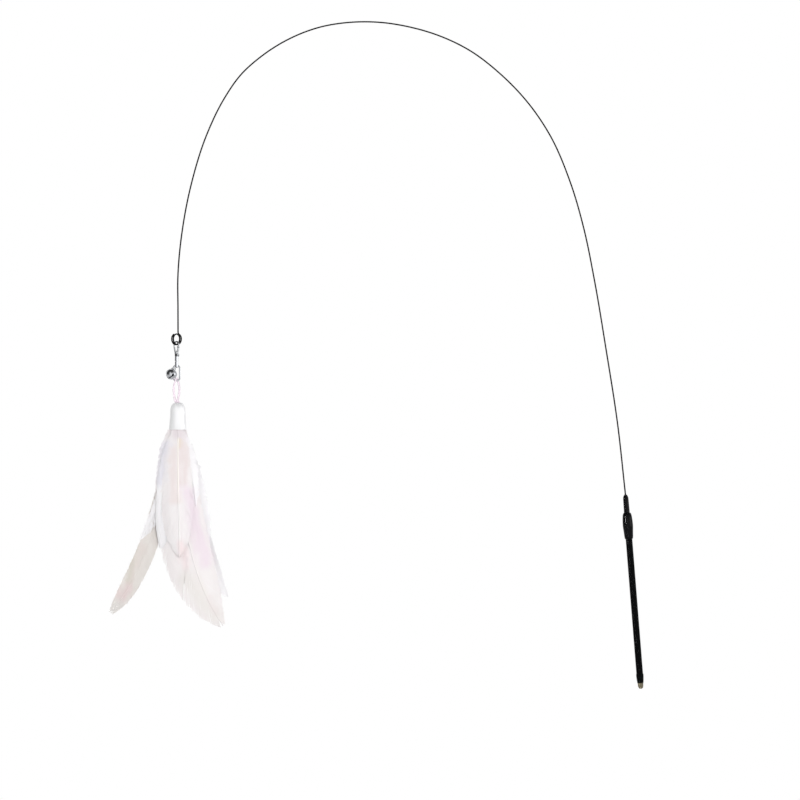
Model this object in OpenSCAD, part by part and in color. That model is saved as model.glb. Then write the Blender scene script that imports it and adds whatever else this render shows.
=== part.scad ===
/* [Handle] */
// Diameter of the rod that the hand holds
rod_d = 5; // [4.6:0.1:6]
// Length of the rod that shows between the socket and the end cap
rod_bare_l = 101.5; // [90:0.5:130]
// Length of that rod above the middle of the grip
rod_upper_l = 51.2; // [48:0.1:60]
// Lean of the handle from upright, its top towards the toy, in degrees
handle_lean = 4.55; // [3:0.05:6]

/* [Wire socket] */
// Length of the barrel that joins the rod and the wire
socket_l = 19.8; // [18:0.1:26]
// Largest diameter of the barrel
socket_d = 7.8; // [7.6:0.1:10]
// Depth of the rod's bore in the barrel
socket_bore_l = 11; // [8:0.1:12]

/* [Socket nose] */
// Length of the nose above the barrel
nose_l = 13.6; // [12:0.1:18]
// Diameter of the nose where it meets the barrel
nose_d = 4.4; // [4.2:0.1:5]
// Diameter of the nose's spigot inside the barrel
nose_spigot_d = 3.4; // [3.2:0.05:3.8]
// Length of the spigot
nose_spigot_l = 6; // [4:0.1:7]
// Wall of the sleeve squeezed on the wire's tail
crimp_wall = 0.45; // [0.3:0.05:0.55]
// Length of that sleeve
crimp_l = 12; // [8:0.1:13]

/* [End cap] */
// Length of the black sleeve on the rod's lower end
end_cap_l = 7; // [6:0.1:10]
// Wall of the sleeve over the rod
end_cap_wall = 0.3; // [0.25:0.05:0.6]
// Depth of the rod in the sleeve
end_cap_bore_l = 4; // [3:0.1:5]
// Diameter of the rounded tip below the sleeve
end_plug_d = 4.3; // [3.8:0.1:4.4]
// Length of the tip that shows
end_plug_l = 4.2; // [3:0.1:6]

/* [Wire] */
// Diameter of the spring wire
wire_d = 1.1; // [0.9:0.05:1.2]
// Distance across the arch, from the nose to the hanging end
arch_w = 336.7; // [300:0.1:380]
// Height of the arch above the nose
arch_h = 354.5; // [320:0.5:400]
// Outer diameter of the eye at the wire's end
eye_d = 9; // [8.8:0.1:11]
// Pitch of the eye's two turns
eye_pitch = 1.6; // [1.6:0.05:1.7]
// Angle by which the eye's axis is turned from the line of sight, in degrees
eye_turn = 48; // [30:1:60]
// Radius of the bend between the wire and the eye
eye_bend_r = 2; // [1.6:0.1:2.4]

/* [Clip] */
// Diameter of the hook's bar
hook_bar_d = 1.2; // [1:0.05:1.3]
// Gap between the hook's bow and the eye's turns
hook_gap = 0.25; // [0.2:0.05:0.3]
// Height from the eye's wire down to the foot of the hook
hook_l = 12.3; // [12:0.1:14]
// Height from the eye's wire down to the gate's pin
gate_pin_drop = 7.9; // [7.8:0.1:8.2]
// Length of the hook's nose below the eye's wire
hook_nose_l = 2.4; // [2:0.1:2.6]
// Diameter of the hook's foot
foot_d = 2.6; // [2.5:0.1:3]
// Thickness of the gate
gate_t = 1; // [0.8:0.05:1.1]
// Diameter of the gate's pin
gate_pin_d = 0.7; // [0.6:0.05:0.8]

/* [Swivel ring] */
// Width of the ring
ring_w = 6; // [5.8:0.1:7]
// Height of the ring below its shoulder
ring_h = 12.75; // [12:0.05:15]
// Diameter of the ring's bar
ring_bar_d = 1.2; // [1:0.05:1.3]
// Height of the ring's neck above its shoulder
neck_h = 2.4; // [2:0.1:3]
// Diameter of the neck
neck_d = 2.4; // [2.2:0.1:2.6]
// Diameter of the swivel rivet's shank
rivet_d = 1.1; // [0.9:0.05:1.2]

/* [Bell] */
// Diameter of the bell
bell_d = 8.2; // [7.8:0.1:8.4]
// Wall of the bell
bell_wall = 0.4; // [0.3:0.05:0.6]
// Width of the bell's slot
bell_slot_w = 0.9; // [0.7:0.05:1.1]
// Diameter of the loose ball inside
pea_d = 2.6; // [2.2:0.1:3]
// Diameter of the jump ring's wire
jump_wire_d = 0.55; // [0.5:0.05:0.6]

/* [Cord and cap] */
// Diameter of the pink cord
cord_d = 1.6; // [1.4:0.05:1.65]
// Drop from the ring's lower bar to the top of the cap
cord_drop = 16.4; // [16:0.1:20]
// Width between the two strands at their widest
cord_spread = 4.3; // [3.8:0.1:5]
// Height of the cap
cap_h = 20.2; // [18:0.1:26]
// Diameter of the cap's mouth
cap_d = 13.4; // [13:0.1:14.4]
// How far the cap hangs to the right of the ring's middle
cap_shift = 1; // [0:0.1:1.2]
// Wall of the cap
cap_wall = 0.7; // [0.5:0.05:0.8]

/* [Feathers] */
// Length of the bunch of feathers below the cap
plume_l = 147; // [120:1:170]
// Distance between two neighbouring quills in the cap
quill_pitch = 0.92; // [0.9:0.01:0.95]
// Diameter of a quill
quill_d = 0.7; // [0.5:0.05:0.7]
// Thickness of a feather's vane beside its quill
vane_t = 0.4; // [0.3:0.05:0.45]
// How far the outer feathers stand apart at the tips, front to back
plume_depth = 40; // [36:1:46]

/* [Hidden] */

// Clearances: a running fit, a snug fit, and the gap between separate bodies
run_gap = 0.05;
snug_gap = 0.03;
body_gap = 0.3;
// Overrun of every cut past the face that it opens
cut = 0.5;
round_fn = 96;
small_fn = 72;

// Heights along the handle's own axis, from the middle of the grip
socket_z = rod_upper_l;
nose_z = socket_z + socket_l;
nose_top_z = nose_z + nose_l;
end_cap_z = rod_upper_l - rod_bare_l;

// Outline of the barrel: share of its length, share of its largest radius
socket_share = [
    [0, 0.74], [0.03, 0.8], [0.08, 0.84], [0.19, 0.88], [0.34, 0.94], [0.46, 0.99], [0.55, 1],
    [0.7, 0.97], [0.82, 0.92], [0.9, 0.87], [0.96, 0.78], [0.99, 0.66], [1, 0.6]
];
// Outline of the nose: share of its length, share of its lower radius
nose_share = [
    [0, 1], [0.45, 0.965], [0.76, 0.935], [0.83, 0.9], [0.89, 0.8], [0.94, 0.66], [0.98, 0.48], [1, 0.38]
];
// Outline of the end cap from its top down: share of its length, share of its outer radius
end_cap_share = [[0, 0.97], [0.05, 1], [0.3, 0.985], [0.6, 0.93], [0.85, 0.86], [1, 0.8]];
// Outline of the rounded tip from its top down: share of its length, share of its radius
end_plug_share = [[0, 1], [0.35, 0.96], [0.6, 0.9], [0.8, 0.76], [0.92, 0.55], [1, 0.25]];

// The wire's arch: share of its width from the nose, share of its height above the nose
arch_share = [
    [0, 0], [0.018, 0.153], [0.043, 0.306], [0.07, 0.458], [0.092, 0.56], [0.123, 0.661], [0.168, 0.76],
    [0.213, 0.824], [0.28, 0.891], [0.346, 0.939], [0.413, 0.97], [0.48, 0.989], [0.547, 0.999],
    [0.614, 0.999], [0.68, 0.989], [0.747, 0.965], [0.814, 0.925], [0.855, 0.89], [0.893, 0.839],
    [0.932, 0.763], [0.966, 0.661], [0.987, 0.56], [0.997, 0.459]
];
// Height of the eye's centre below the top of the arch, as a share of the arch's height
eye_drop_share = 0.6716;
wire_sides = 8;
arch_steps = 4;
turn_rings = 24;
eye_turns = 2;

wire_r = wire_d / 2;
eye_r = (eye_d - wire_d) / 2;
nose_x = -nose_top_z * sin(handle_lean);
nose_top = nose_top_z * cos(handle_lean);
hang_x = nose_x - arch_w;
eye_z = nose_top + arch_h - eye_drop_share * arch_h;
// The eye hangs its wire's lowest point here, and everything below hangs under it
hang_z = eye_z - eye_r;

// Heights of the hanging pieces
foot_z = hang_z - hook_l;
neck_z = foot_z - body_gap;
ring_top_z = neck_z - neck_h;
ring_bar_r = ring_bar_d / 2;
ring_arc_r = (ring_w - ring_bar_d) / 2;
ring_upper_z = ring_top_z - ring_w / 2;
ring_lower_z = ring_top_z - ring_h + ring_w / 2;
ring_bottom_z = ring_lower_z - ring_arc_r;
rivet_head_d = 1.8;
rivet_head_h = 0.6;
rivet_head_gap = 0.12;
neck_foot_z = ring_top_z - ring_bar_d - 0.375 * ring_bar_d;

// Clip, in its own plane: sideways from the eye's middle, and up from the eye's lowest wire
bow_r = eye_pitch / 2 + wire_r + hook_gap + hook_bar_d / 2;
// Outline of the hook's nose from the bow down: share of its length, share of the bar's radius
nose_end_share = [[0, 1], [0.82, 1], [0.9, 0.86], [0.96, 0.62], [1, 0.3]];
hook_bar_r = hook_bar_d / 2;
gate_pin_u = -0.2 * foot_d;
gate_pin_z = -gate_pin_drop;
gate_hub_d = gate_pin_d + 2 * gate_pin_d * 0.6;
knuckle_d = foot_d * 0.88;
gate_slot_w = gate_t + 4 * run_gap;
leaf_u = gate_pin_u + gate_hub_d / 2 + 2 * run_gap;
nose_in_u = -(bow_r - hook_bar_r);
gate_tip_gap = 0.1;
gate_step_gap = 0.15;
gate_step_z = -(hook_nose_l + hook_bar_r + gate_step_gap);
gate_tip_z = -(wire_r + 2 * hook_gap);
gate_tip_t = 0.6 * gate_t;
leaf_t = 0.18;

// Bell: its jump ring goes round the ring's left bar, and the bell leans on the ring in front
bell_r = bell_d / 2;
bell_side = 0.34 * bell_r;
bell_ring_gap = 0.5;
bell_front = bell_r + ring_bar_r + bell_ring_gap;
bell_drop = 0.95 * bell_r;
bell_pivot = [hang_x - ring_arc_r, 0, ring_upper_z - 0.2 * ring_bar_d];
bell_centre = bell_pivot + [-bell_side, -bell_front, -bell_drop];
bell_hang = unit(bell_centre - bell_pivot);
bell_across = unit(cross([0, 0, 1], bell_hang));
jump_r = jump_wire_d / 2;
staple_wire_d = 0.5;
staple_gap = 0.1;
staple_out = bell_r + staple_gap + jump_wire_d + staple_gap + staple_wire_d / 2;
jump_near = norm(bell_centre - bell_pivot) - bell_r - staple_gap - jump_r;
jump_far = (ring_bar_r + jump_r + 2 * staple_gap) / norm([bell_hang[0], bell_hang[1]]);
jump_ring_r = (jump_near + jump_far) / 2;

// Cord and cap
cord_r = cord_d / 2;
cord_sides = 8;
cord_steps = 4;
cord_reach = ring_bar_r + cord_r + body_gap;
cap_top_z = ring_bottom_z - cord_drop;
cap_mouth_z = cap_top_z - cap_h;
cap_r = cap_d / 2;
cap_x = hang_x + cap_shift;
cap_hole_slack = 0.6;
cap_hole_d = 2 * cord_d + cap_hole_slack;
// Outline of the cap: share of its height from the mouth, share of the mouth's radius
cap_share = [
    [0, 0.985], [0.02, 1], [0.08, 0.99], [0.25, 0.93], [0.45, 0.885], [0.7, 0.85], [0.8, 0.82],
    [0.87, 0.76], [0.93, 0.665], [0.97, 0.55], [1, 0.42]
];
knot_d = 4.4;
knot_h = 3.2;
knot_z = cap_top_z - cap_wall - body_gap - knot_h;
// Outline of the knot: share of its height, share of its radius
knot_share = [[0, 0.4], [0.15, 0.8], [0.4, 1], [0.7, 0.95], [0.9, 0.75], [1, 0.6]];
// How far the quills reach up into the cap
quill_in = 8;
glue_h = 2;
glue_z = cap_mouth_z + quill_in + body_gap;

// Right strand of the cord from over the ring's bar to the cap. Shares of the reach round
// the bar for sideways and depth, and of the same reach for height, until it hangs free
cord_bow_share = [[0, 0, 1], [0.24, 0.76, 0.84], [0.5, 1.22, 0], [0.9, 1.1, -1.1]];
// Then shares of half the spread for sideways and depth, and of the drop for height
cord_hang_share = [[0.9, 0.3, 0.22], [1, 0.12, 0.38], [0.94, 0.05, 0.55], [0.7, 0, 0.76], [0.32, 0, 0.94]];

// Feathers: layer from front to back, place of the root across the cap's mouth as a share of
// its radius, then two guide points and the tip as shares of the plume's length (right, down),
// then the vane's half widths, left and right, as shares of the same length, and the tip's
// bluntness
feather_share = [
    [-4.5, 0.05, [0.003, 0.209], [0.013, 0.413], [0.016, 0.648], 0.085, 0.071, 3.4],
    [-1.5, 0.1, [0.006, 0.362], [0.057, 0.745], [0.238, 1], 0.14, 0.1, 2.8],
    [2.5, 0.3, [0.072, 0.209], [0.122, 0.592], [0.26, 0.852], 0.061, 0.031, 4],
    [0.5, 0.4, [0.06, 0.107], [0.118, 0.321], [0.162, 0.592], 0.051, 0.037, 4],
    [-2.5, 0.35, [0.045, 0.056], [0.074, 0.168], [0.1, 0.393], 0.046, 0.031, 4],
    [1.5, -0.25, [-0.056, 0.311], [-0.126, 0.668], [-0.335, 0.936], 0.044, 0.048, 6],
    [-0.5, -0.35, [-0.045, 0.209], [-0.078, 0.4], [-0.186, 0.561], 0.022, 0.036, 4],
    [-3.5, -0.3, [-0.066, 0.107], [-0.086, 0.362], [-0.081, 0.607], 0.026, 0.066, 4],
    [3.5, 0.05, [-0.005, 0.26], [0.016, 0.566], [0.046, 0.796], 0.077, 0.082, 3.4],
    [4.5, -0.1, [-0.03, 0.158], [-0.051, 0.388], [-0.066, 0.592], 0.046, 0.071, 4]
];
feather_rings = 22;
// Share of the plume's length over which the vanes open below the cap
open_share = 0.1;
// Half width of the bunch and its drift to the right at the tips, as shares of its length, and
// how far the outer layers close round it towards its sides
bunch_share = 0.17;
drift_share = 0.095;
cup_share = 0.7;
// Share of its width that a vane has at the cap's mouth, share of its length where it is
// widest, and the saw of its edge
mouth_open_share = 0.7;
widest_share = 0.5;
saw_share = 0.03;

function unit(v) = v / norm(v);
function mix(a, b, t) = a + (b - a) * t;
function clamp01(x) = max(0, min(1, x));

// Direction of the smooth curve through p at p[i], the nearer neighbour weighing more
function heading(p, i) =
    i == 0 ? unit(p[1] - p[0]) :
    i == len(p) - 1 ? unit(p[i] - p[i - 1]) :
    let(before = p[i] - p[i - 1], after = p[i + 1] - p[i], d1 = norm(before), d2 = norm(after))
    (before * d2 / d1 + after * d1 / d2) / (d1 + d2);

// A point of the smooth curve through p, between p[i] and p[i + 1]
function curve_at(p, i, t) =
    let(
        b = p[i], c = p[i + 1], l = norm(c - b),
        m0 = l * heading(p, i), m1 = l * heading(p, i + 1), t2 = t * t, t3 = t2 * t
    )
    (2 * t3 - 3 * t2 + 1) * b + (t3 - 2 * t2 + t) * m0 + (3 * t2 - 2 * t3) * c + (t3 - t2) * m1;

// The smooth curve through p, cut into steps between its points
function curve(p, steps) =
    concat([for (i = [0:len(p) - 2]) for (k = [0:steps - 1]) curve_at(p, i, k / steps)], [p[len(p) - 1]]);

function tangent(p, i) = unit(p[min(len(p) - 1, i + 1)] - p[max(0, i - 1)]);

// Ring of points round a path's point, square to the path and clockwise along it
function tube_ring(p, t, side, r, n) =
    let(a = unit(side - (side * t) * t), b = cross(a, t))
    [for (k = [0:n - 1]) p + r * (cos(360 * k / n) * a + sin(360 * k / n) * b)];

// Faces of a stack of rings of n points, with both ends closed. A thin leaf has its back's
// diagonals laid like its front's, so that its two walls bend alike and never cross
function stack_faces(rings, n, leaf = false) =
    concat(
        [for (i = [0:rings - 2]) for (k = [0:n - 1])
            let(a = i * n + k, b = i * n + (k + 1) % n, c = b + n, d = a + n, back = leaf && k >= n / 2)
            each back ? [[a, b, d], [b, c, d]] : [[a, b, c], [a, c, d]]],
        [for (k = [1:n - 2]) [0, k + 1, k]],
        [for (k = [1:n - 2]) (rings - 1) * n * [1, 1, 1] + [0, k, k + 1]]
    );

module tube(path, r, n, side) {
    points = [for (i = [0:len(path) - 1]) each tube_ring(path[i], tangent(path, i), side, r, n)];
    polyhedron(points, stack_faces(len(path), n), convexity = 10);
}

// A solid of revolution from shares of a height and a radius, rising from z = 0
module turned(shares, h, r) {
    rotate_extrude($fn = round_fn)
        polygon(concat([[0, shares[0][0] * h]], [for (s = shares) [s[1] * r, s[0] * h]],
            [[0, shares[len(shares) - 1][0] * h]]));
}

module on_handle(z = 0) {
    rotate([0, -handle_lean, 0])
        translate([0, 0, z])
            children();
}

// Places a piece in the clip's own plane: its x runs along the eye's axis
module in_clip() {
    translate([hang_x, 0, hang_z])
        rotate([0, 0, 90 + eye_turn])
            children();
}

module handle_rod() {
    color("#202022")
        on_handle(end_cap_z - end_cap_bore_l)
            cylinder(d = rod_d, h = rod_bare_l + end_cap_bore_l + socket_bore_l - snug_gap, $fn = round_fn);
}

module end_cap() {
    outer_r = rod_d / 2 + end_cap_wall;
    plug_r = end_plug_d / 2 - end_cap_wall;
    color("#1a1a1c")
        on_handle(end_cap_z)
            mirror([0, 0, 1])
                difference() {
                    turned(end_cap_share, end_cap_l, outer_r);
                    translate([0, 0, -cut])
                        cylinder(d = rod_d + 2 * snug_gap, h = end_cap_bore_l + snug_gap + cut, $fn = round_fn);
                    cylinder(r = plug_r + snug_gap, h = end_cap_l + cut, $fn = round_fn);
                }
}

module end_plug() {
    stem_l = end_cap_l - end_cap_bore_l - 2 * snug_gap;
    plug_r = end_plug_d / 2 - end_cap_wall;
    color("#8c8474")
        on_handle(end_cap_z - end_cap_l - snug_gap)
            union() {
                mirror([0, 0, 1])
                    turned(end_plug_share, end_plug_l, end_plug_d / 2);
                cylinder(r = plug_r, h = stem_l, $fn = round_fn);
            }
}

module wire_socket() {
    spigot_r = nose_spigot_d / 2;
    color("#161618")
        on_handle(socket_z)
            difference() {
                turned(socket_share, socket_l, socket_d / 2);
                translate([0, 0, -cut])
                    cylinder(d = rod_d + 2 * snug_gap, h = socket_bore_l + cut, $fn = round_fn);
                translate([0, 0, socket_l - nose_spigot_l - snug_gap])
                    cylinder(r = spigot_r + snug_gap, h = nose_spigot_l + cut, $fn = round_fn);
            }
}

module socket_nose() {
    crimp_r = wire_r + run_gap + crimp_wall;
    crimp_top = crimp_l - nose_spigot_l + snug_gap;
    color("#18181a")
        on_handle(nose_z + snug_gap)
            difference() {
                union() {
                    turned(nose_share, nose_l - snug_gap, nose_d / 2);
                    translate([0, 0, -nose_spigot_l])
                        cylinder(d = nose_spigot_d, h = nose_spigot_l + cut, $fn = round_fn);
                }
                translate([0, 0, -nose_spigot_l - cut])
                    cylinder(r = crimp_r + snug_gap, h = nose_spigot_l + cut + crimp_top, $fn = round_fn);
                cylinder(r = wire_r + run_gap, h = nose_l + cut, $fn = round_fn);
            }
}

module wire_crimp() {
    crimp_r = wire_r + run_gap + crimp_wall;
    color("#b08d45")
        on_handle(nose_z - nose_spigot_l + snug_gap)
            difference() {
                cylinder(r = crimp_r, h = crimp_l, $fn = round_fn);
                translate([0, 0, -cut])
                    cylinder(r = wire_r + run_gap, h = crimp_l + 2 * cut, $fn = round_fn);
            }
}

// The eye's own directions: across its turns in the picture, and along its axis
eye_side = [cos(eye_turn), sin(eye_turn), 0];
eye_axis = [-sin(eye_turn), cos(eye_turn), 0];
eye_join = 20;
eye_end = 340;
lead_t = eye_r * sin(eye_join) - eye_bend_r * (1 - sin(eye_join));
lead_z = eye_r * cos(eye_join) + eye_bend_r * cos(eye_join);

function eye_point(t, along, z) = [hang_x, 0, eye_z] + t * eye_side + along * eye_axis + [0, 0, z];
function turn_along(a) = (a - 180 * eye_turns) / 360 * eye_pitch;

function wire_path() =
    let(
        tail = nose_z - nose_spigot_l + 2 * snug_gap,
        up = [-sin(handle_lean), 0, cos(handle_lean)],
        lead = eye_point(lead_t, turn_along(eye_join), lead_z),
        straight = [for (k = [0:2]) mix(tail, nose_top_z, k / 3) * up],
        arch = [for (s = arch_share) [nose_x - s[0] * arch_w, 0, nose_top + s[1] * arch_h]],
        last = len(arch_share) - 1,
        free = concat(arch, [mix(arch[last], lead, 0.55) + [0, -arch[last][1], 0], lead]),
        bend = [for (k = [1:3]) let(a = (90 - eye_join) * k / 4)
            eye_point(lead_t + eye_bend_r * (1 - cos(a)), turn_along(eye_join), lead_z - eye_bend_r * sin(a))],
        first = eye_join,
        final = 360 * (eye_turns - 1) + eye_end,
        count = round((final - first) / 360 * turn_rings),
        eye = [for (k = [0:count]) let(a = first + (final - first) * k / count)
            eye_point(eye_r * sin(a), turn_along(a), eye_r * cos(a))]
    )
    concat(straight, curve(free, arch_steps), bend, eye);

// Least distance between the surfaces of two stretches of a path that lie a turn apart
function self_gap(path, r, apart) =
    min([for (i = [0:len(path) - 1]) for (j = [i + apart:1:len(path) - 1]) norm(path[i] - path[j])]) - 2 * r;

module spring_wire() {
    path = wire_path();
    turns = [for (i = [len(path) - round(eye_turns * turn_rings):len(path) - 1]) path[i]];
    echo(wire_eye_least_gap_to_itself = self_gap(turns, wire_r, round(turn_rings * 0.6)));
    color("#1c1c1e")
        tube(path, wire_r, wire_sides, [0, 1, 0]);
}

// The hook's bent bar: nose, bow, and an arm that leans in to the foot
module hook_bar() {
    arm_u = foot_d * 0.28;
    arm_z = gate_pin_z - foot_d * 0.1;
    knee_z = -hook_bar_d * 1.3;
    knee_r = 1.7 * hook_bar_d;
    lean = atan2(bow_r - arm_u, knee_z - arm_z);
    arm_l = norm([bow_r - arm_u, knee_z - arm_z]) - knee_r * sin(lean);
    rotate([90, 0, 0])
        rotate_extrude(angle = 180, $fn = round_fn)
            translate([bow_r, 0])
                circle(r = hook_bar_r, $fn = small_fn);
    translate([-bow_r, 0, 0])
        mirror([0, 0, 1])
            turned(nose_end_share, hook_nose_l + hook_bar_r, hook_bar_r);
    translate([bow_r, 0, knee_z])
        cylinder(r = hook_bar_r, h = -knee_z, $fn = small_fn);
    translate([bow_r - knee_r, 0, knee_z])
        rotate([90, 0, 0])
            rotate_extrude(angle = -lean, $fn = round_fn)
                translate([knee_r, 0])
                    circle(r = hook_bar_r, $fn = small_fn);
    translate([bow_r - knee_r * (1 - cos(lean)), 0, knee_z - knee_r * sin(lean)])
        rotate([0, 180 + lean, 0])
            cylinder(r = hook_bar_r, h = arm_l, $fn = small_fn);
}

module clip_hook() {
    foot_top = -gate_pin_drop - knuckle_d * 0.3;
    bore_top = -hook_l + (hook_l + foot_top) * 0.75;
    color("#c9ccd0")
        in_clip()
            difference() {
                union() {
                    hook_bar();
                    translate([gate_pin_u, 0, gate_pin_z])
                        rotate([90, 0, 0])
                            cylinder(d = knuckle_d, h = foot_d, center = true, $fn = round_fn);
                    translate([0, 0, -hook_l])
                        cylinder(d = foot_d, h = hook_l + foot_top, $fn = round_fn);
                }
                translate([-foot_d, -gate_slot_w / 2, gate_pin_z - gate_hub_d / 2 - 2 * run_gap])
                    cube([foot_d + leaf_u + leaf_t + snug_gap, gate_slot_w, foot_d]);
                translate([gate_pin_u, 0, gate_pin_z])
                    rotate([90, 0, 0])
                        cylinder(d = gate_pin_d + 2 * snug_gap, h = foot_d + cut, center = true, $fn = small_fn);
                translate([0, 0, -hook_l - cut])
                    cylinder(d = rivet_d + 2 * snug_gap, h = bore_top + hook_l + cut, $fn = small_fn);
            }
}

module clip_gate() {
    hub_r = gate_hub_d / 2;
    out_u = nose_in_u + gate_tip_gap;
    step_u = -bow_r - hook_bar_r * 0.4;
    profile = [
        [gate_pin_u - hub_r, gate_pin_z], [step_u, gate_step_z], [out_u, gate_step_z],
        [out_u, gate_tip_z], [out_u + gate_tip_t, gate_tip_z],
        [out_u + gate_tip_t, gate_step_z - gate_t], [gate_pin_u + hub_r, gate_pin_z]
    ];
    color("#d5d7da")
        in_clip()
            difference() {
                union() {
                    translate([0, gate_t / 2, 0])
                        rotate([90, 0, 0])
                            linear_extrude(gate_t)
                                polygon(profile);
                    translate([gate_pin_u, 0, gate_pin_z])
                        rotate([90, 0, 0])
                            cylinder(r = hub_r, h = gate_t, center = true, $fn = small_fn);
                }
                translate([gate_pin_u, 0, gate_pin_z])
                    rotate([90, 0, 0])
                        cylinder(d = gate_pin_d + 2 * run_gap, h = gate_t + cut, center = true, $fn = small_fn);
            }
}

module gate_pin() {
    color("#8f9296")
        in_clip()
            translate([gate_pin_u, 0, gate_pin_z])
                rotate([90, 0, 0])
                    cylinder(d = gate_pin_d, h = foot_d, center = true, $fn = small_fn);
}

// A thin leaf beside the arm that leans on the gate's back
module gate_spring() {
    leaf_w = gate_t * 0.7;
    foot = [leaf_u, gate_pin_z - gate_hub_d / 4];
    touch = [nose_in_u + gate_tip_gap + gate_tip_t + gate_t * 0.42, gate_step_z - gate_t * 1.2];
    bulge = mix(foot, touch, 0.55) + [gate_t * 0.42, 0];
    back = [for (p = [touch, bulge, foot]) p + [leaf_t, 0]];
    color("#aeb1b5")
        in_clip()
            translate([0, leaf_w / 2, 0])
                rotate([90, 0, 0])
                    linear_extrude(leaf_w)
                        polygon(concat([foot, bulge, touch], back));
}

module swivel_rivet() {
    foot_top = -gate_pin_drop - knuckle_d * 0.3;
    bore_l = (hook_l + foot_top) * 0.75;
    shank_foot = neck_foot_z - rivet_head_gap;
    color("#b9bcc0")
        translate([hang_x, 0, 0])
            union() {
                translate([0, 0, shank_foot])
                    cylinder(d = rivet_d, h = foot_z + bore_l - snug_gap - shank_foot, $fn = small_fn);
                translate([0, 0, shank_foot - rivet_head_h])
                    cylinder(d = rivet_head_d, h = rivet_head_h, $fn = small_fn);
            }
}

module swivel_ring() {
    bore_d = rivet_d + 2 * run_gap;
    color("#d2d4d8")
        translate([hang_x, 0, 0])
            difference() {
                union() {
                    for (end = [[ring_upper_z, 0], [ring_lower_z, 180]])
                        translate([0, 0, end[0]])
                            rotate([90, end[1], 0])
                                rotate_extrude(angle = 180, $fn = round_fn)
                                    translate([ring_arc_r, 0])
                                        circle(r = ring_bar_r, $fn = small_fn);
                    for (side = [-1, 1])
                        translate([side * ring_arc_r, 0, ring_lower_z])
                            cylinder(r = ring_bar_r, h = ring_upper_z - ring_lower_z, $fn = small_fn);
                    translate([0, 0, neck_foot_z])
                        cylinder(d = neck_d, h = neck_z - neck_foot_z, $fn = round_fn);
                }
                translate([0, 0, neck_foot_z - cut])
                    cylinder(d = bore_d, h = neck_z - neck_foot_z + 2 * cut, $fn = small_fn);
            }
}

// Places a piece with its z along the line from the bell up to its pivot
module on_bell() {
    lift = -bell_hang;
    tilt = acos(lift[2]);
    turn = atan2(lift[1], lift[0]);
    translate(bell_centre)
        rotate([0, tilt, turn])
            children();
}

module bell_ring() {
    color("#b5b8bc")
        on_bell()
            translate([0, 0, bell_r + staple_gap + jump_r + jump_ring_r])
                rotate([0, 90, 0])
                    rotate_extrude($fn = round_fn)
                        translate([jump_ring_r, 0])
                            circle(r = jump_r, $fn = small_fn);
}

module bell_loop() {
    staple_r = (staple_out - bell_r) * 0.6;
    color("#bfc2c6")
        on_bell()
            difference() {
                translate([0, 0, staple_out - staple_r])
                    rotate([90, 0, 0])
                        rotate_extrude($fn = round_fn)
                            translate([staple_r, 0])
                                circle(d = staple_wire_d, $fn = small_fn);
                sphere(r = bell_r + snug_gap, $fn = round_fn);
            }
}

module bell_shell() {
    difference() {
        sphere(r = bell_r, $fn = round_fn);
        sphere(r = bell_r - bell_wall, $fn = round_fn);
    }
}

module bell_top() {
    bead_d = bell_wall * 0.9;
    color("#cfd2d6")
        on_bell()
            difference() {
                union() {
                    bell_shell();
                    rotate_extrude($fn = round_fn)
                        translate([bell_r, bead_d / 2])
                            circle(d = bead_d, $fn = small_fn);
                }
                translate([0, 0, -bell_d])
                    cube([2 * bell_d, 2 * bell_d, 2 * bell_d], center = true);
            }
}

module bell_bottom() {
    end_hole_d = bell_slot_w * 2;
    slot_end = bell_r * 0.62;
    color("#c6c9cd")
        on_bell()
            rotate([0, 0, 55])
                difference() {
                    bell_shell();
                    translate([0, 0, bell_d - snug_gap])
                        cube([2 * bell_d, 2 * bell_d, 2 * bell_d], center = true);
                    translate([-slot_end, -bell_slot_w / 2, -bell_d])
                        cube([2 * slot_end, bell_slot_w, bell_d]);
                    for (side = [-1, 1])
                        translate([side * slot_end, 0, -bell_d])
                            cylinder(d = end_hole_d, h = bell_d, $fn = small_fn);
                }
}

module bell_pea() {
    color("#9a9da1")
        translate(bell_centre - [0, 0, bell_r - bell_wall - pea_d / 2 - run_gap])
            sphere(d = pea_d, $fn = small_fn);
}

function cord_strand(side) =
    let(
        bar = [hang_x, 0, ring_bottom_z],
        half = cord_spread / 2,
        bow = [for (s = cord_bow_share) bar + cord_reach * [side * s[0], side * s[1], s[2]]],
        hang = [for (s = cord_hang_share) bar + [side * half * s[0], side * half * s[1], -cord_drop * s[2]]],
        end = [cap_x + side * cord_r * 1.1, 0, knot_z + knot_h + 2 * run_gap]
    )
    concat(bow, hang, [end + [0, 0, cap_wall + body_gap], end]);

function cord_path() =
    let(right = cord_strand(1), left = cord_strand(-1), n = len(right))
    curve(concat([for (i = [n - 1:-1:0]) right[i]], [for (i = [1:n - 1]) left[i]]), cord_steps);

module cord_loop() {
    color("#eec6dc")
        tube(cord_path(), cord_r, cord_sides, [1, 0, 0]);
}

module cord_knot() {
    color("#e8bcd5")
        translate([cap_x, 0, knot_z])
            turned(knot_share, knot_h, knot_d / 2);
}

module feather_cap() {
    ceiling = cap_h - cap_wall;
    inner = [for (s = cap_share) if (s[0] * cap_h < ceiling) [s[1] * cap_r - cap_wall, s[0] * cap_h]];
    last = inner[len(inner) - 1];
    color("#e2e4e6")
        translate([cap_x, 0, cap_mouth_z])
            difference() {
                turned(cap_share, cap_h, cap_r);
                rotate_extrude($fn = round_fn)
                    polygon(concat([[0, -cut], [inner[0][0], -cut]], inner,
                        [[last[0] * 0.8, ceiling], [0, ceiling]]));
                cylinder(d = cap_hole_d, h = cap_h + cut, $fn = small_fn);
            }
}

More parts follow.
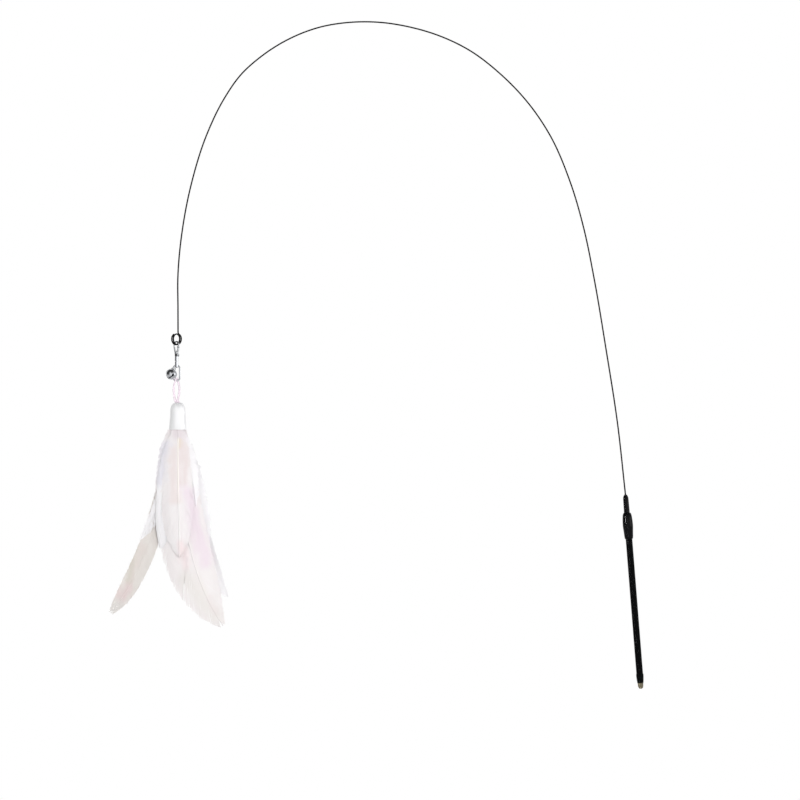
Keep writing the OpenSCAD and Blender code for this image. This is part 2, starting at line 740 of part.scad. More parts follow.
module glue_plug() {
    share = (quill_in + glue_h) / cap_h;
    inner_r = lookup(share, cap_share) * cap_r - cap_wall;
    color("#d9d3c2")
        translate([cap_x, 0, glue_z])
            cylinder(r = inner_r - 2 * run_gap, h = glue_h, $fn = round_fn);
}

// The bunch's own half width and sideways drift at a depth below the cap
function bunch_half(down) = cap_r + (bunch_share * plume_l - cap_r) * clamp01(down / (0.35 * plume_l));
function bunch_mid(down) = cap_shift + drift_share * plume_l * pow(clamp01(down / plume_l), 2);

// Depth of a layer: the layers spread below the cap and close round the bunch at its sides
function layer_y(rank, x, down) =
    let(
        fall = clamp01(down / plume_l),
        side = clamp01(abs(x - bunch_mid(down)) / bunch_half(down)),
        full = plume_depth / 9,
        spread = quill_pitch + (full - quill_pitch) * (1 - (1 - fall) * (1 - fall)),
        cup = cup_share * clamp01(3 * fall)
    )
    rank * spread * (1 - cup * side * side);

function guide(p, t) =
    let(s = 1 - t)
    s * s * s * p[0] + 3 * s * s * t * p[1] + 3 * s * t * t * p[2] + t * t * t * p[3];

function guide_slope(p, t) =
    let(s = 1 - t)
    unit(s * s * (p[1] - p[0]) + 2 * s * t * (p[2] - p[1]) + t * t * (p[3] - p[2]));

// Share of a vane's half width at t along it. The blunter, the later it narrows to its tip
function vane_share(t, blunt) =
    let(past = max(0, (t - widest_share) / (1 - widest_share)), near = clamp01(t / widest_share))
    (0.55 + 0.45 * sin(90 * near)) * (1 - pow(past, blunt));

// Sideways place of a feather's root in the cap's mouth
function root_x(f) = cap_shift + f[1] * cap_r * 0.8;

// One ring of a feather: a lens with a ridge on both faces where the quill runs
function feather_ring(f, k) =
    let(
        t = k / feather_rings,
        mouth = [root_x(f), body_gap],
        p = [mouth, f[2] * plume_l, f[3] * plume_l, f[4] * plume_l],
        at = guide(p, t),
        slope = guide_slope(p, t),
        across = [slope[1], -slope[0]],
        opened = clamp01((at[1] - body_gap) / (open_share * plume_l)),
        saw = 1 + saw_share * (k % 2 == 0 ? 1 : -1),
        quill = quill_d / 2 * (1 - 0.75 * t),
        grow = (mouth_open_share + (1 - mouth_open_share) * opened) * vane_share(t, f[7]) * saw,
        left = max(quill * 1.2, f[5] * plume_l * grow),
        right = max(quill * 1.2, f[6] * plume_l * grow),
        thin = vane_t / 2 * (1 - 0.6 * t)
    )
    feather_section(f[0], at, across, left, right, quill, thin);

// The ring's eight points, from the left edge over the front to the right edge and back
function feather_section(rank, at, across, left, right, quill, thin) =
    [for (q = [[-left, 0], [-quill, -thin], [0, -quill], [quill, -thin],
            [right, 0], [quill, thin], [0, quill], [-quill, thin]])
        let(x = at[0] + q[0] * across[0], down = at[1] + q[0] * across[1])
        [hang_x + x, layer_y(rank, x, down) + q[1], cap_mouth_z - down]];

// The quill's end in the cap, above the first ring
function feather_root(f, down) =
    feather_section(f[0], [root_x(f), down], [1, 0],
        quill_d / 2, quill_d / 2, quill_d / 2, vane_t / 2);

module feather(i, tint) {
    f = feather_share[i];
    rings = concat([feather_root(f, -quill_in), feather_root(f, -body_gap)],
        [for (k = [0:feather_rings]) feather_ring(f, k)]);
    color(tint)
        polyhedron([for (r = rings) each r], stack_faces(len(rings), 8, true), convexity = 10);
}

handle_rod();
end_cap();
end_plug();
wire_socket();
socket_nose();
wire_crimp();
spring_wire();
clip_hook();
clip_gate();
gate_pin();
gate_spring();
swivel_rivet();
swivel_ring();
bell_ring();
bell_loop();
bell_top();
bell_bottom();
bell_pea();
cord_loop();
cord_knot();
feather_cap();
glue_plug();
feather(0, "#f3ece9");  // feather_1
feather(1, "#efe4ea");  // feather_2
feather(2, "#f0edf6");  // feather_3
feather(3, "#f4f0f8");  // feather_4
feather(4, "#f1ecf4");  // feather_5
feather(5, "#dcd2cc");  // feather_6
feather(6, "#e6e2e4");  // feather_7
feather(7, "#ece8f2");  // feather_8
feather(8, "#f0e8ec");  // feather_9
feather(9, "#f2eef2");  // feather_10
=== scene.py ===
# %% [markdown]
# A cat teaser wand: a short black handle, a long spring wire that arches over, and a feather toy
# that hangs from the wire's eye on a small chrome clip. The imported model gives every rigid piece
# at its real size. This file gives them their finishes, and makes the wire, the cord and the
# feathers anew, because those are what the eye looks at and the plain solids can't show them.

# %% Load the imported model
import math

import bpy
import numpy as np
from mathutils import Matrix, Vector


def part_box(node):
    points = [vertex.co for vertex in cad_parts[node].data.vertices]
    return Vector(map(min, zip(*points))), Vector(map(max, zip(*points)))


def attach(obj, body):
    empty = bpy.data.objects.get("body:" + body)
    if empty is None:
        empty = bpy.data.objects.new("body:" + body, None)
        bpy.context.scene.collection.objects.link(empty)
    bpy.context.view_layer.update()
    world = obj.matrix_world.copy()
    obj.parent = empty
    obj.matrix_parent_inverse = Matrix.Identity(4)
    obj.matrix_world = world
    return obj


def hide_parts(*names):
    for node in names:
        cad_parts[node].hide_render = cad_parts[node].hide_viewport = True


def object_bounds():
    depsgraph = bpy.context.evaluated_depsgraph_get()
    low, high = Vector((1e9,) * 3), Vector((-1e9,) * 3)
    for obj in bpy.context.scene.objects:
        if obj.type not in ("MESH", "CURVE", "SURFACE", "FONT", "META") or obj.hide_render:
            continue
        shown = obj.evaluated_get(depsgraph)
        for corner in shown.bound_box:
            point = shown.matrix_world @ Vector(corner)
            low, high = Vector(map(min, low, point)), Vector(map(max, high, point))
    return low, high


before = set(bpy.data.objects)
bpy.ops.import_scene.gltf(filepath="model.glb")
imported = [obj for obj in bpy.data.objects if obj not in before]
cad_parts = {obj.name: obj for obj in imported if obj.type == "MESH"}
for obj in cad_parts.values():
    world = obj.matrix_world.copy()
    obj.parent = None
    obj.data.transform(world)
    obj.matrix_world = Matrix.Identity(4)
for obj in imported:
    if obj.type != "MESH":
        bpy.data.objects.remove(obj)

CAD_LOW, CAD_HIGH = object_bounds()
SCENE = bpy.context.scene
MM = 0.001
print("packed model", [round(c, 4) for c in CAD_LOW], [round(c, 4) for c in CAD_HIGH])

# %% [markdown]
# The picture was taken straight on, from far away, so nothing in it converges. An orthographic
# camera gives the same view, and its scale is simply the width of the picture in metres.

# %% Camera
PICTURE_WIDTH = 0.6
PICTURE_PIXELS = 800
PIXEL = PICTURE_WIDTH / PICTURE_PIXELS
GRIP_PX = (634.4, 607.0)
PICTURE_MIDDLE_X = (PICTURE_PIXELS / 2 - GRIP_PX[0]) * PIXEL
PICTURE_MIDDLE_Z = (GRIP_PX[1] - PICTURE_PIXELS / 2) * PIXEL
CAMERA_DISTANCE = 2.0


def add_object(name, data):
    piece = bpy.data.objects.new(name, data)
    SCENE.collection.objects.link(piece)
    return piece


camera_data = bpy.data.cameras.new("camera")
camera_data.type = "ORTHO"
camera_data.ortho_scale = PICTURE_WIDTH
camera = add_object("camera", camera_data)
camera.location = (PICTURE_MIDDLE_X, -CAMERA_DISTANCE, PICTURE_MIDDLE_Z)
camera.rotation_euler = (math.radians(90), 0, 0)
SCENE.camera = camera
print("camera sees", PICTURE_WIDTH, "m from", [round(c, 3) for c in camera.location])

# %% [markdown]
# A material's pattern is a sum of small numbers: a noise, a mask, a share of one colour in
# another. As nodes alone that is hard to read, so one small class wraps a socket and lets
# Python's own signs add the Math nodes.


# %% Values
class Value:
    """A node's output, with the signs + - * / and ** as Math nodes."""

    def __init__(self, tree, socket):
        self.tree = tree
        self.socket = socket

    def __add__(self, other):
        return self.tree.maths("ADD", self, other)

    def __sub__(self, other):
        return self.tree.maths("SUBTRACT", self, other)

    def __rsub__(self, other):
        return self.tree.maths("SUBTRACT", other, self)

    def __mul__(self, other):
        return self.tree.maths("MULTIPLY", self, other)

    def __truediv__(self, other):
        return self.tree.maths("DIVIDE", self, other)

    def __rtruediv__(self, other):
        return self.tree.maths("DIVIDE", other, self)

    def __pow__(self, other):
        return self.tree.maths("POWER", self, other)

    def __abs__(self):
        return self.tree.maths("ABSOLUTE", self)

    __radd__ = __add__
    __rmul__ = __mul__

    def clamp(self):
        return self.tree.maths("ADD", self, 0.0, clamp=True)

    def sin(self):
        return self.tree.maths("SINE", self)

    def cos(self):
        return self.tree.maths("COSINE", self)


# %% [markdown]
# Any node comes from one method of the tree: it takes the node's type, its settings and what goes
# into its sockets, numbers or links alike. The nodes that are needed all over, in materials as in
# geometry, have a short name on top of that.


# %% Trees
class Tree:
    """A node tree, with one method that adds any node and sets or links its sockets."""

    def __init__(self, data):
        self.data = data

    def node(self, kind, settings=None, inputs=None, out=0):
        """A new node's output, by its number or name, or the node itself if it has none."""
        node = self.data.nodes.new(kind)
        for name, value in (settings or {}).items():
            setattr(node, name, value)
        for name, value in (inputs or {}).items():
            self.put(node.inputs[name], value)
        return Value(self, node.outputs[out]) if len(node.outputs) else node

    def put(self, socket, value):
        if isinstance(value, Value):
            self.data.links.new(value.socket, socket)
        else:
            socket.default_value = value

    def out(self, value, name):
        """Another output of the node that made value."""
        return Value(self, value.socket.node.outputs[name])

    def maths(self, operation, *values, clamp=False):
        settings = {"operation": operation, "use_clamp": clamp}
        return self.node("ShaderNodeMath", settings, dict(enumerate(values)))

    def vector(self, operation, *values, out="Vector"):
        """A Vector Math node. SCALE takes a vector and a number."""
        names = (0, "Scale") if operation == "SCALE" else range(len(values))
        settings = {"operation": operation}
        return self.node("ShaderNodeVectorMath", settings, dict(zip(names, values)), out)

    def xyz(self, **parts):
        return self.node("ShaderNodeCombineXYZ", {}, parts)

    def mix(self, factor, first, second):
        """Colour that goes from first to second as factor goes from 0 to 1."""
        colours = {0: factor, 6: first, 7: second}
        return self.node("ShaderNodeMix", {"data_type": "RGBA"}, colours, out=2)

    def noise(self, where, detail, rough=0.55, out=0):
        """Soft random numbers round 0.5, with about one lump to each unit of where."""
        sockets = {"Vector": where, "Scale": 1.0, "Detail": detail, "Roughness": rough}
        return self.node("ShaderNodeTexNoise", {"noise_dimensions": "3D"}, sockets, out)

    def between(self, value, low, high):
        """From 0 to 1 while value goes from low to high, and level outside."""
        sockets = {"Value": value, "From Min": low, "From Max": high}
        return self.node("ShaderNodeMapRange", {"clamp": True}, sockets)

    def smooth(self, value, low, high):
        """The same with soft ends."""
        sockets = {"Value": value, "From Min": low, "From Max": high}
        return self.node("ShaderNodeMapRange", {"interpolation_type": "SMOOTHSTEP"}, sockets)


# %% [markdown]
# Every finish starts from the same shader, the Principled BSDF. Numbers that are the same all over
# a surface, such as the sheen, are set on its sockets. Patterns feed only the colour, the
# roughness, the metal, the coat and the bump, so that the exported model can keep them as
# pictures.


# %% Finish helper
def srgb(red, green, blue):
    """A colour as a picture gives it, 0 to 255, as the linear colour that a shader takes."""
    def linear(level):
        level = level / 255
        return level / 12.92 if level <= 0.04045 else ((level + 0.055) / 1.055) ** 2.4
    return (linear(red), linear(green), linear(blue), 1)


class Finish(Tree):
    """A new material with a Principled shader and helpers for patterns."""

    def __init__(self, name, **constants):
        self.material = bpy.data.materials.new(name)
        self.material.use_nodes = True
        super().__init__(self.material.node_tree)
        self.shader = self.data.nodes["Principled BSDF"]
        for words, value in constants.items():
            socket = words.replace("_", " ").title().replace("Ior", "IOR")
            self.shader.inputs[socket].default_value = value

    def place(self, steps=(1, 1, 1), turn=(0, 0, 0)):
        """Object coordinates, turned and then scaled to so many steps a metre."""
        here = self.node("ShaderNodeTexCoord", out="Object")
        point = {"vector_type": "POINT"}
        turned = self.node("ShaderNodeMapping", point, {"Vector": here, "Rotation": turn})
        return self.node("ShaderNodeMapping", point, {"Vector": turned, "Scale": steps})

    def pattern(self, steps, detail, turn=(0, 0, 0)):
        """Noise with so many lumps a metre along X, Y and Z."""
        return self.noise(self.place(steps, turn), detail)

    def attribute(self, name):
        return self.node("ShaderNodeAttribute", {"attribute_name": name}, out="Fac")

    def set(self, socket, value):
        self.put(self.shader.inputs[socket], value)

    def bump(self, height, distance, strength):
        """Relief so many metres high, softened by its strength."""
        sockets = {"Height": height, "Distance": distance, "Strength": strength}
        self.set("Normal", self.node("ShaderNodeBump", {}, sockets))


print("a picture's mid grey is", round(srgb(128, 128, 128)[0], 3), "to a shader")

# %% [markdown]
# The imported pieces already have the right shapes, so their finishes go straight into their
# material slots. One finish may dress several pieces.

# %% Dressing
DRESSED = []


def paint(piece, material):
    piece.data.materials.clear()
    piece.data.materials.append(material)


def dress(material, *names):
    """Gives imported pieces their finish, and remembers them for the smooth shading."""
    for name in names:
        paint(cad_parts[name], material)
        DRESSED.append(name)
    print(material.name, "on", ", ".join(names))


# %% [markdown]
# The handle is a black lacquered rod. In the picture it is dull, with faint streaks along its
# length and a fine grain. The streaks are a noise stretched along the rod, so its coordinates are
# first turned by the handle's lean. A picture of scratches would do too, but it needs an unwrapped
# surface, and a noise has no seams. The sleeve on the rod's lower end is dull rubber with scuffs,
# and the tip that closes it is a mottled grey-brown.

# %% Rod, sleeve and tip
HANDLE_LEAN = math.radians(4.55)
ALONG_ROD = (0, HANDLE_LEAN, 0)


def mottled(name, steps, detail, dark, pale, rough, relief, **constants):
    """One noise drives it all: the colour, the roughness (least, and range) and the relief."""
    f = Finish(name, **constants)
    mottle = f.pattern(steps, detail)
    f.set("Base Color", f.mix(mottle, srgb(*dark), srgb(*pale)))
    f.set("Roughness", rough[0] + rough[1] * mottle)
    f.bump(mottle, *relief)
    return f.material


def rod_black():
    f = Finish("rod black", specular_ior_level=0.03)
    streaks = f.pattern((1600, 1600, 60), detail=4, turn=ALONG_ROD)
    grain = f.pattern((5200, 5200, 2600), detail=2, turn=ALONG_ROD)
    worn = f.between(f.pattern((120, 120, 45), detail=3), 0.45, 0.75)
    f.set("Base Color", f.mix(streaks, srgb(3, 3, 4), srgb(12, 12, 13)))
    f.set("Roughness", 0.5 + 0.16 * grain - 0.08 * worn)
    f.bump(0.6 * grain + 0.4 * streaks, distance=0.04 * MM, strength=0.7)
    return f.material


def sleeve_black():
    f = Finish("sleeve black", specular_ior_level=0.06)
    grain = f.pattern((2600, 2600, 2600), detail=3)
    scuffs = f.between(f.pattern((420, 420, 900), detail=4), 0.52, 0.72)
    f.set("Base Color", f.mix(scuffs, srgb(4, 5, 6), srgb(18, 26, 28)))
    f.set("Roughness", 0.5 + 0.14 * grain)
    f.bump(grain, distance=0.03 * MM, strength=0.6)
    return f.material


TIP_BROWN = mottled(
    "tip brown", (900, 900, 900), detail=4, dark=(84, 78, 62), pale=(128, 120, 98),
    rough=(0.5, 0.2), relief=(0.04 * MM, 0.5), specular_ior_level=0.4)
dress(rod_black(), "handle_rod")
dress(sleeve_black(), "end_cap")
dress(TIP_BROWN, "end_plug")

# %% [markdown]
# The barrel and its nose are glossy moulded plastic. Real mouldings aren't optically flat: they
# have a slow waviness and hairline rubs, and those are what makes a highlight look real. The gloss
# is a thin coat over a dull black, and it varies with the waves.


# %% Glossy barrel and nose
def barrel_black(name, tint):
    f = Finish(name, specular_ior_level=0.06, coat_roughness=0.05)
    waves = f.pattern((260, 260, 120), detail=2, turn=ALONG_ROD)
    rubs = f.between(f.pattern((900, 900, 7000), detail=3, turn=ALONG_ROD), 0.55, 0.75)
    f.set("Base Color", f.mix(waves, tint, srgb(12, 12, 14)))
    f.set("Roughness", 0.16 + 0.12 * rubs)
    f.set("Coat Weight", 0.03 + 0.1 * waves)
    f.bump(waves, distance=0.06 * MM, strength=0.5)
    return f.material


dress(barrel_black("barrel black", srgb(3, 3, 4)), "wire_socket")
dress(barrel_black("nose black", srgb(4, 4, 5)), "socket_nose")

# %% [markdown]
# The wire is spring steel under a thin black coat. Two shaders, coat over steel, could be mixed by
# a mask of the worn spots. Only their metal and colour differ, though, so one shader is enough,
# and a sparse noise raises its metal where a little steel shines through.


# %% Black wire
def wire_black():
    f = Finish("wire black", specular_ior_level=0.08)
    worn = f.between(f.pattern((700, 700, 260), detail=4), 0.6, 0.72)
    drawn = f.pattern((4200, 4200, 300), detail=2)
    f.set("Base Color", f.mix(worn, srgb(4, 4, 5), srgb(26, 26, 28)))
    f.set("Metallic", 0.3 * worn)
    f.set("Roughness", 0.34 + 0.16 * drawn)
    f.bump(drawn, distance=0.02 * MM, strength=0.5)
    return f.material


WIRE_BLACK = wire_black()
print("finish", WIRE_BLACK.name)

# %% [markdown]
# The clip, its ring and the bell are plated, and the pins are plain steel. A plating mirrors the studio,
# so its look comes from the world round it, and the finish adds only faint clouds and hairlines. The gate
# is only half metal: its other half is a pale base, a painted reflection of white, so that it stays pale
# where the hook is dark.

# %% Plated and plain metal
CLOUD_DARKENS = 0.78


def metal(name, tint, rough, metallic=1.0):
    f = Finish(name)
    cloud = f.pattern((500, 500, 500), detail=4)
    hair = f.pattern((6000, 6000, 900), detail=2)
    dark = tuple(CLOUD_DARKENS * c for c in tint[:3]) + (1,)
    f.set("Base Color", f.mix(cloud, dark, tint))
    f.set("Metallic", metallic)
    f.set("Roughness", rough + 0.1 * hair)
    f.bump(hair, distance=0.01 * MM, strength=0.4)
    return f.material


CHROME = metal("chrome", srgb(216, 218, 222), rough=0.08)
# The gate's pale, half-diffuse base is a painted reflection of white.
GATE_PLATING_PAINTED_PALE = metal("gate plating", srgb(240, 242, 244), rough=0.24, metallic=0.5)
BELL_NICKEL = metal("bell nickel", srgb(222, 224, 228), rough=0.1)
PIN_STEEL = metal("pin steel", srgb(150, 153, 158), rough=0.26)
CRIMP_BRASS = metal("crimp brass", srgb(190, 158, 92), rough=0.3)
dress(CHROME, "clip_hook", "swivel_ring")
dress(GATE_PLATING_PAINTED_PALE, "clip_gate")
dress(BELL_NICKEL, "bell_ring", "bell_loop", "bell_top", "bell_bottom")
dress(PIN_STEEL, "gate_pin", "gate_spring", "swivel_rivet", "bell_pea")
dress(CRIMP_BRASS, "wire_crimp")

# %% [markdown]
# The cap over the quills is thin spun metal with a satin silver finish. Spinning leaves fine rings
# round it, so the noise is stretched round the cap's axis by being squeezed along it. The other way
# to such a sheen is the shader's Anisotropic value, which the exported model can't keep.


# %% Satin cap
def cap_silver():
    f = Finish("cap silver", coat_weight=0.2, coat_roughness=0.08)
    rings = f.pattern((60, 60, 5200), detail=3)
    smear = f.pattern((260, 260, 180), detail=3)
    f.set("Base Color", f.mix(smear, srgb(246, 247, 248), srgb(253, 253, 254)))
    f.set("Metallic", 0.18 + 0.06 * smear)
    f.set("Roughness", 0.3 + 0.05 * rings + 0.04 * smear)
    f.bump(rings, distance=0.003 * MM, strength=0.4)
    return f.material


dress(cap_silver(), "feather_cap")

# %% [markdown]
# The cord is a thin twisted satin cord in pale pink. The twist is in its shape, and the shader
# adds the fine thread lines that run along each strand. Its knot and the glue over the quills are
# inside the cap.

# %% Cord and glue
PINK = mottled(
    "cord pink", (5200, 5200, 1500), detail=3, dark=(238, 220, 233), pale=(252, 243, 249),
    rough=(0.55, 0.25), relief=(0.04 * MM, 0.8), sheen_weight=0.3, sheen_roughness=0.4,
    specular_ior_level=0.3)
GLUE = mottled(
    "glue", (420, 420, 420), detail=3, dark=(206, 196, 172), pale=(232, 226, 208),
    rough=(0.25, 0.2), relief=(0.08 * MM, 0.6), specular_ior_level=0.5)
dress(PINK, "cord_knot")
dress(GLUE, "glue_plug")

# %% [markdown]
# What follows a path, the wire, the cord's strands and the feathers' barbs, is made by Geometry
# Nodes from a line of points. Such a tree has named inputs for its sizes, so that one tree serves
# several pieces.

# %% Tree helpers
NUMBER = "NodeSocketFloat"
COUNT = "NodeSocketInt"
MATERIAL = "NodeSocketMaterial"


def node_group(name, inputs):
    """A new geometry tree with the named inputs, each a socket type and its value."""
    group = bpy.data.node_groups.new(name, "GeometryNodeTree")
    for way in ("INPUT", "OUTPUT"):
        group.interface.new_socket("Geometry", in_out=way, socket_type="NodeSocketGeometry")
    for title, (kind, value) in inputs.items():
        socket = group.interface.new_socket(title, in_out="INPUT", socket_type=kind)
        if kind != MATERIAL:
            socket.default_value = value
    tree = Tree(group)
    given = tree.node("NodeGroupInput").socket.node
    return tree, {s.name: Value(tree, s) for s in given.outputs if s.name}


def end_group(tree, geometry, material, smooth=True):
    """Ends the tree: instances become real, and everything gets the material."""
    real = tree.node("GeometryNodeRealizeInstances", {}, {"Geometry": geometry})
    painted = tree.node("GeometryNodeSetMaterial", {}, {"Geometry": real, "Material": material})
    shading = {"Geometry": painted, "Shade Smooth": smooth}
    tree.node("NodeGroupOutput", {}, {0: tree.node("GeometryNodeSetShadeSmooth", {}, shading)})
    return tree.data


def line_curve(tree, given):
    """The line that the tree is given, as a curve."""
    return tree.node("GeometryNodeMeshToCurve", {}, {"Mesh": given["Geometry"]})


def resampled(tree, curve, count):
    return tree.node("GeometryNodeResampleCurve", {}, {"Curve": curve, "Count": count})


def circle(tree, sides, radius):
    sockets = {"Resolution": sides, "Radius": radius}
    return tree.node("GeometryNodeCurvePrimitiveCircle", {}, sockets)


def thickness(tree, curve, radius):
    return tree.node("GeometryNodeSetCurveRadius", {}, {"Curve": curve, "Radius": radius})


def swept(tree, curve, outline):
    """A closed bar: the outline swept along the curve."""
    sockets = {"Curve": curve, "Profile Curve": outline, "Fill Caps": True}
    return tree.node("GeometryNodeCurveToMesh", {}, sockets)


# %% [markdown]
# The tree runs as a modifier on a mesh that is only a line. Its result is taken as a plain mesh and
# the maker goes, so that the finished piece doesn't depend on the tree.


# %% Growing a mesh
def line_mesh(name, points):
    mesh = bpy.data.meshes.new(name)
    edges = [(i, i + 1) for i in range(len(points) - 1)]
    mesh.from_pydata([tuple(p) for p in points], edges, [])
    return mesh


def grown(line, group, values):
    """What a geometry tree makes from a line, as a plain mesh."""
    maker = add_object(line.name, line)
    modifier = maker.modifiers.new("grow", "NODES")
    modifier.node_group = group
    sockets = group.interface.items_tree
    ids = {item.name: item.identifier for item in sockets if item.in_out == "INPUT"}
    for title, value in values.items():
        modifier[ids[title]] = value
    graph = bpy.context.evaluated_depsgraph_get()
    mesh = bpy.data.meshes.new_from_object(maker.evaluated_get(graph))
    bpy.data.objects.remove(maker)
    return mesh


def grow(name, points, group, values):
    """A piece from a line of points and a geometry tree."""
    mesh = grown(line_mesh(name + "_line", points), group, values)
    mesh.name = name
    print(name, len(mesh.polygons), "faces")
    return add_object(name, mesh)


# %% [markdown]
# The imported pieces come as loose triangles, so a highlight would show every facet. Their meshes
# stay as they are and two modifiers do the rest: Weld joins the triangles, and a small tree
# shades smoothly across each edge that is flatter than a real corner.

# %% Smooth round faces
CORNER_ANGLE = math.radians(50)
WELD_GAP = 0.001 * MM


def soft_edges_group():
    tree, given = node_group("soft edges", {"Corner": (NUMBER, CORNER_ANGLE)})
    angle = tree.node("GeometryNodeInputMeshEdgeAngle")
    flat_enough = tree.maths("LESS_THAN", angle, given["Corner"])
    faces = tree.node("GeometryNodeSetShadeSmooth", {"domain": "FACE"}, {"Geometry": given["Geometry"]})
    sockets = {"Geometry": faces, "Shade Smooth": flat_enough}
    edges = tree.node("GeometryNodeSetShadeSmooth", {"domain": "EDGE"}, sockets)
    tree.node("NodeGroupOutput", {}, {0: edges})
    return tree.data


SOFT_EDGES = soft_edges_group()
for name in DRESSED:
    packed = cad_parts[name]
    packed.modifiers.new("join", "WELD").merge_threshold = WELD_GAP
    packed.modifiers.new("soft edges", "NODES").node_group = SOFT_EDGES
print("smooth faces on", len(DRESSED), "packed pieces")

# %% [markdown]
# The spring wire is one thin rod from inside the nose to its own two-turn eye. Its arch is a
# smooth curve through the points that the solid model uses, as shares of the arch's width and
# height. The eye is a helix, so its turns come from a formula.

# %% Wire sizes
WIRE_D = 1.1 * MM
ARCH_W = 336.7 * MM
ARCH_H = 354.5 * MM
EYE_D = 9 * MM
EYE_PITCH = 1.6 * MM
EYE_TURN = math.radians(48)
EYE_BEND_R = 2 * MM
EYE_TURNS = 2
EYE_JOIN = math.radians(20)
EYE_END = math.radians(340)
EYE_DROP_SHARE = 0.6716
NOSE_TOP = 84.6 * MM
WIRE_TAIL = 65.06 * MM
ARCH_SHARE = [
    (0, 0), (0.018, 0.153), (0.043, 0.306), (0.07, 0.458), (0.092, 0.56), (0.123, 0.661), (0.168, 0.76),
    (0.213, 0.824), (0.28, 0.891), (0.346, 0.939), (0.413, 0.97), (0.48, 0.989), (0.547, 0.999),
    (0.614, 0.999), (0.68, 0.989), (0.747, 0.965), (0.814, 0.925), (0.855, 0.89), (0.893, 0.839),
    (0.932, 0.763), (0.966, 0.661), (0.987, 0.56), (0.997, 0.459),
]
NOSE_X = -NOSE_TOP * math.sin(HANDLE_LEAN)
NOSE_Z = NOSE_TOP * math.cos(HANDLE_LEAN)
HANG_X = NOSE_X - ARCH_W
EYE_Z = NOSE_Z + ARCH_H * (1 - EYE_DROP_SHARE)
EYE_R = (EYE_D - WIRE_D) / 2
EYE_SIDE = Vector((math.cos(EYE_TURN), math.sin(EYE_TURN), 0))
EYE_AXIS = Vector((-math.sin(EYE_TURN), math.cos(EYE_TURN), 0))
print("the eye's middle is at", round(HANG_X, 4), round(EYE_Z, 4))

# %% [markdown]
# A few points make a smooth curve when each piece between two of them leaves and arrives in the
# right direction. That direction is a mean of the two neighbours' directions, in which the nearer
# one weighs more, so the curve doesn't overshoot where the points lie close together.


# %% Smooth curve
def direction_at(points, i):
    """Direction of the smooth curve at a point."""
    if i == 0:
        return (points[1] - points[0]).normalized()
    if i == len(points) - 1:
        return (points[i] - points[i - 1]).normalized()
    before = points[i] - points[i - 1]
    after = points[i + 1] - points[i]
    near, far = before.length, after.length
    return (before * far / near + after * near / far) / (near + far)


def smooth_curve(points, steps):
    """The smooth curve through the points, cut into steps between each two."""
    curve = []
    for i in range(len(points) - 1):
        start, end = points[i], points[i + 1]
        length = (end - start).length
        leave, arrive = length * direction_at(points, i), length * direction_at(points, i + 1)
        for k in range(steps):
            t = k / steps
            curve.append((2 * t**3 - 3 * t**2 + 1) * start + (t**3 - 2 * t**2 + t) * leave
                         + (3 * t**2 - 2 * t**3) * end + (t**3 - t**2) * arrive)
    return curve + [points[-1]]


def path_length(points):
    return sum((b - a).length for a, b in zip(points, points[1:]))


# %% [markdown]
# The wire's line has four parts: the straight tail inside the nose, the arch, a tight bend out of
# the arch, and the eye's turns. The bend turns the wire's end into the circle that the eye
# starts on.

# %% Wire line
TAIL_STEPS = 3
ARCH_STEPS = 12
BEND_STEPS = 8
TURN_STEPS = 72
LEAD_MIDDLE = 0.55


def eye_point(side, along, height):
    return Vector((HANG_X, 0, EYE_Z + height)) + side * EYE_SIDE + along * EYE_AXIS


def turn_along(angle):
    """How far along the eye's axis the wire is after an angle."""
    return (angle - math.pi * EYE_TURNS) / (2 * math.pi) * EYE_PITCH


def tail_points():
    up = Vector((-math.sin(HANDLE_LEAN), 0, math.cos(HANDLE_LEAN)))
    return [up * (WIRE_TAIL + (NOSE_TOP - WIRE_TAIL) * k / TAIL_STEPS) for k in range(TAIL_STEPS)]


def arch_points(lead):
    arch = [Vector((NOSE_X - s * ARCH_W, 0, NOSE_Z + h * ARCH_H)) for s, h in ARCH_SHARE]
    halfway = arch[-1].lerp(lead, LEAD_MIDDLE)
    halfway.y = 0
    return smooth_curve(arch + [halfway, lead], ARCH_STEPS)


def bend_points(lead_side, lead_z):
    points = []
    for k in range(1, BEND_STEPS):
        a = (math.pi / 2 - EYE_JOIN) * k / BEND_STEPS
        side = lead_side + EYE_BEND_R * (1 - math.cos(a))
        points.append(eye_point(side, turn_along(EYE_JOIN), lead_z - EYE_BEND_R * math.sin(a)))
    return points


def eye_points():
    final = 2 * math.pi * (EYE_TURNS - 1) + EYE_END
    count = round((final - EYE_JOIN) / (2 * math.pi) * TURN_STEPS)
    angles = [EYE_JOIN + (final - EYE_JOIN) * k / count for k in range(count + 1)]
    return [eye_point(EYE_R * math.sin(a), turn_along(a), EYE_R * math.cos(a)) for a in angles]


def wire_points():
    lead_side = EYE_R * math.sin(EYE_JOIN) - EYE_BEND_R * (1 - math.sin(EYE_JOIN))
    lead_z = (EYE_R + EYE_BEND_R) * math.cos(EYE_JOIN)
    lead = eye_point(lead_side, turn_along(EYE_JOIN), lead_z)
    return tail_points() + arch_points(lead) + bend_points(lead_side, lead_z) + eye_points()


WIRE_LINE = wire_points()
print("wire line", len(WIRE_LINE), "points,", round(path_length(WIRE_LINE) / MM), "mm")

# %% [markdown]
# The spring wire is a round bar along that line. A curve object with a round bevel would look the
# same, but its ends need filling by hand. One small tree does all of it: the line becomes a curve,
# and a circle is swept along it with its ends closed.

# %% Wire
WIRE_SIDES = 16


def bar_group():
    tree, given = node_group("round bar", {
        "Radius": (NUMBER, WIRE_D / 2),
        "Sides": (COUNT, WIRE_SIDES),
        "Material": (MATERIAL, None),
    })
    outline = circle(tree, given["Sides"], given["Radius"])
    return end_group(tree, swept(tree, line_curve(tree, given), outline), given["Material"])


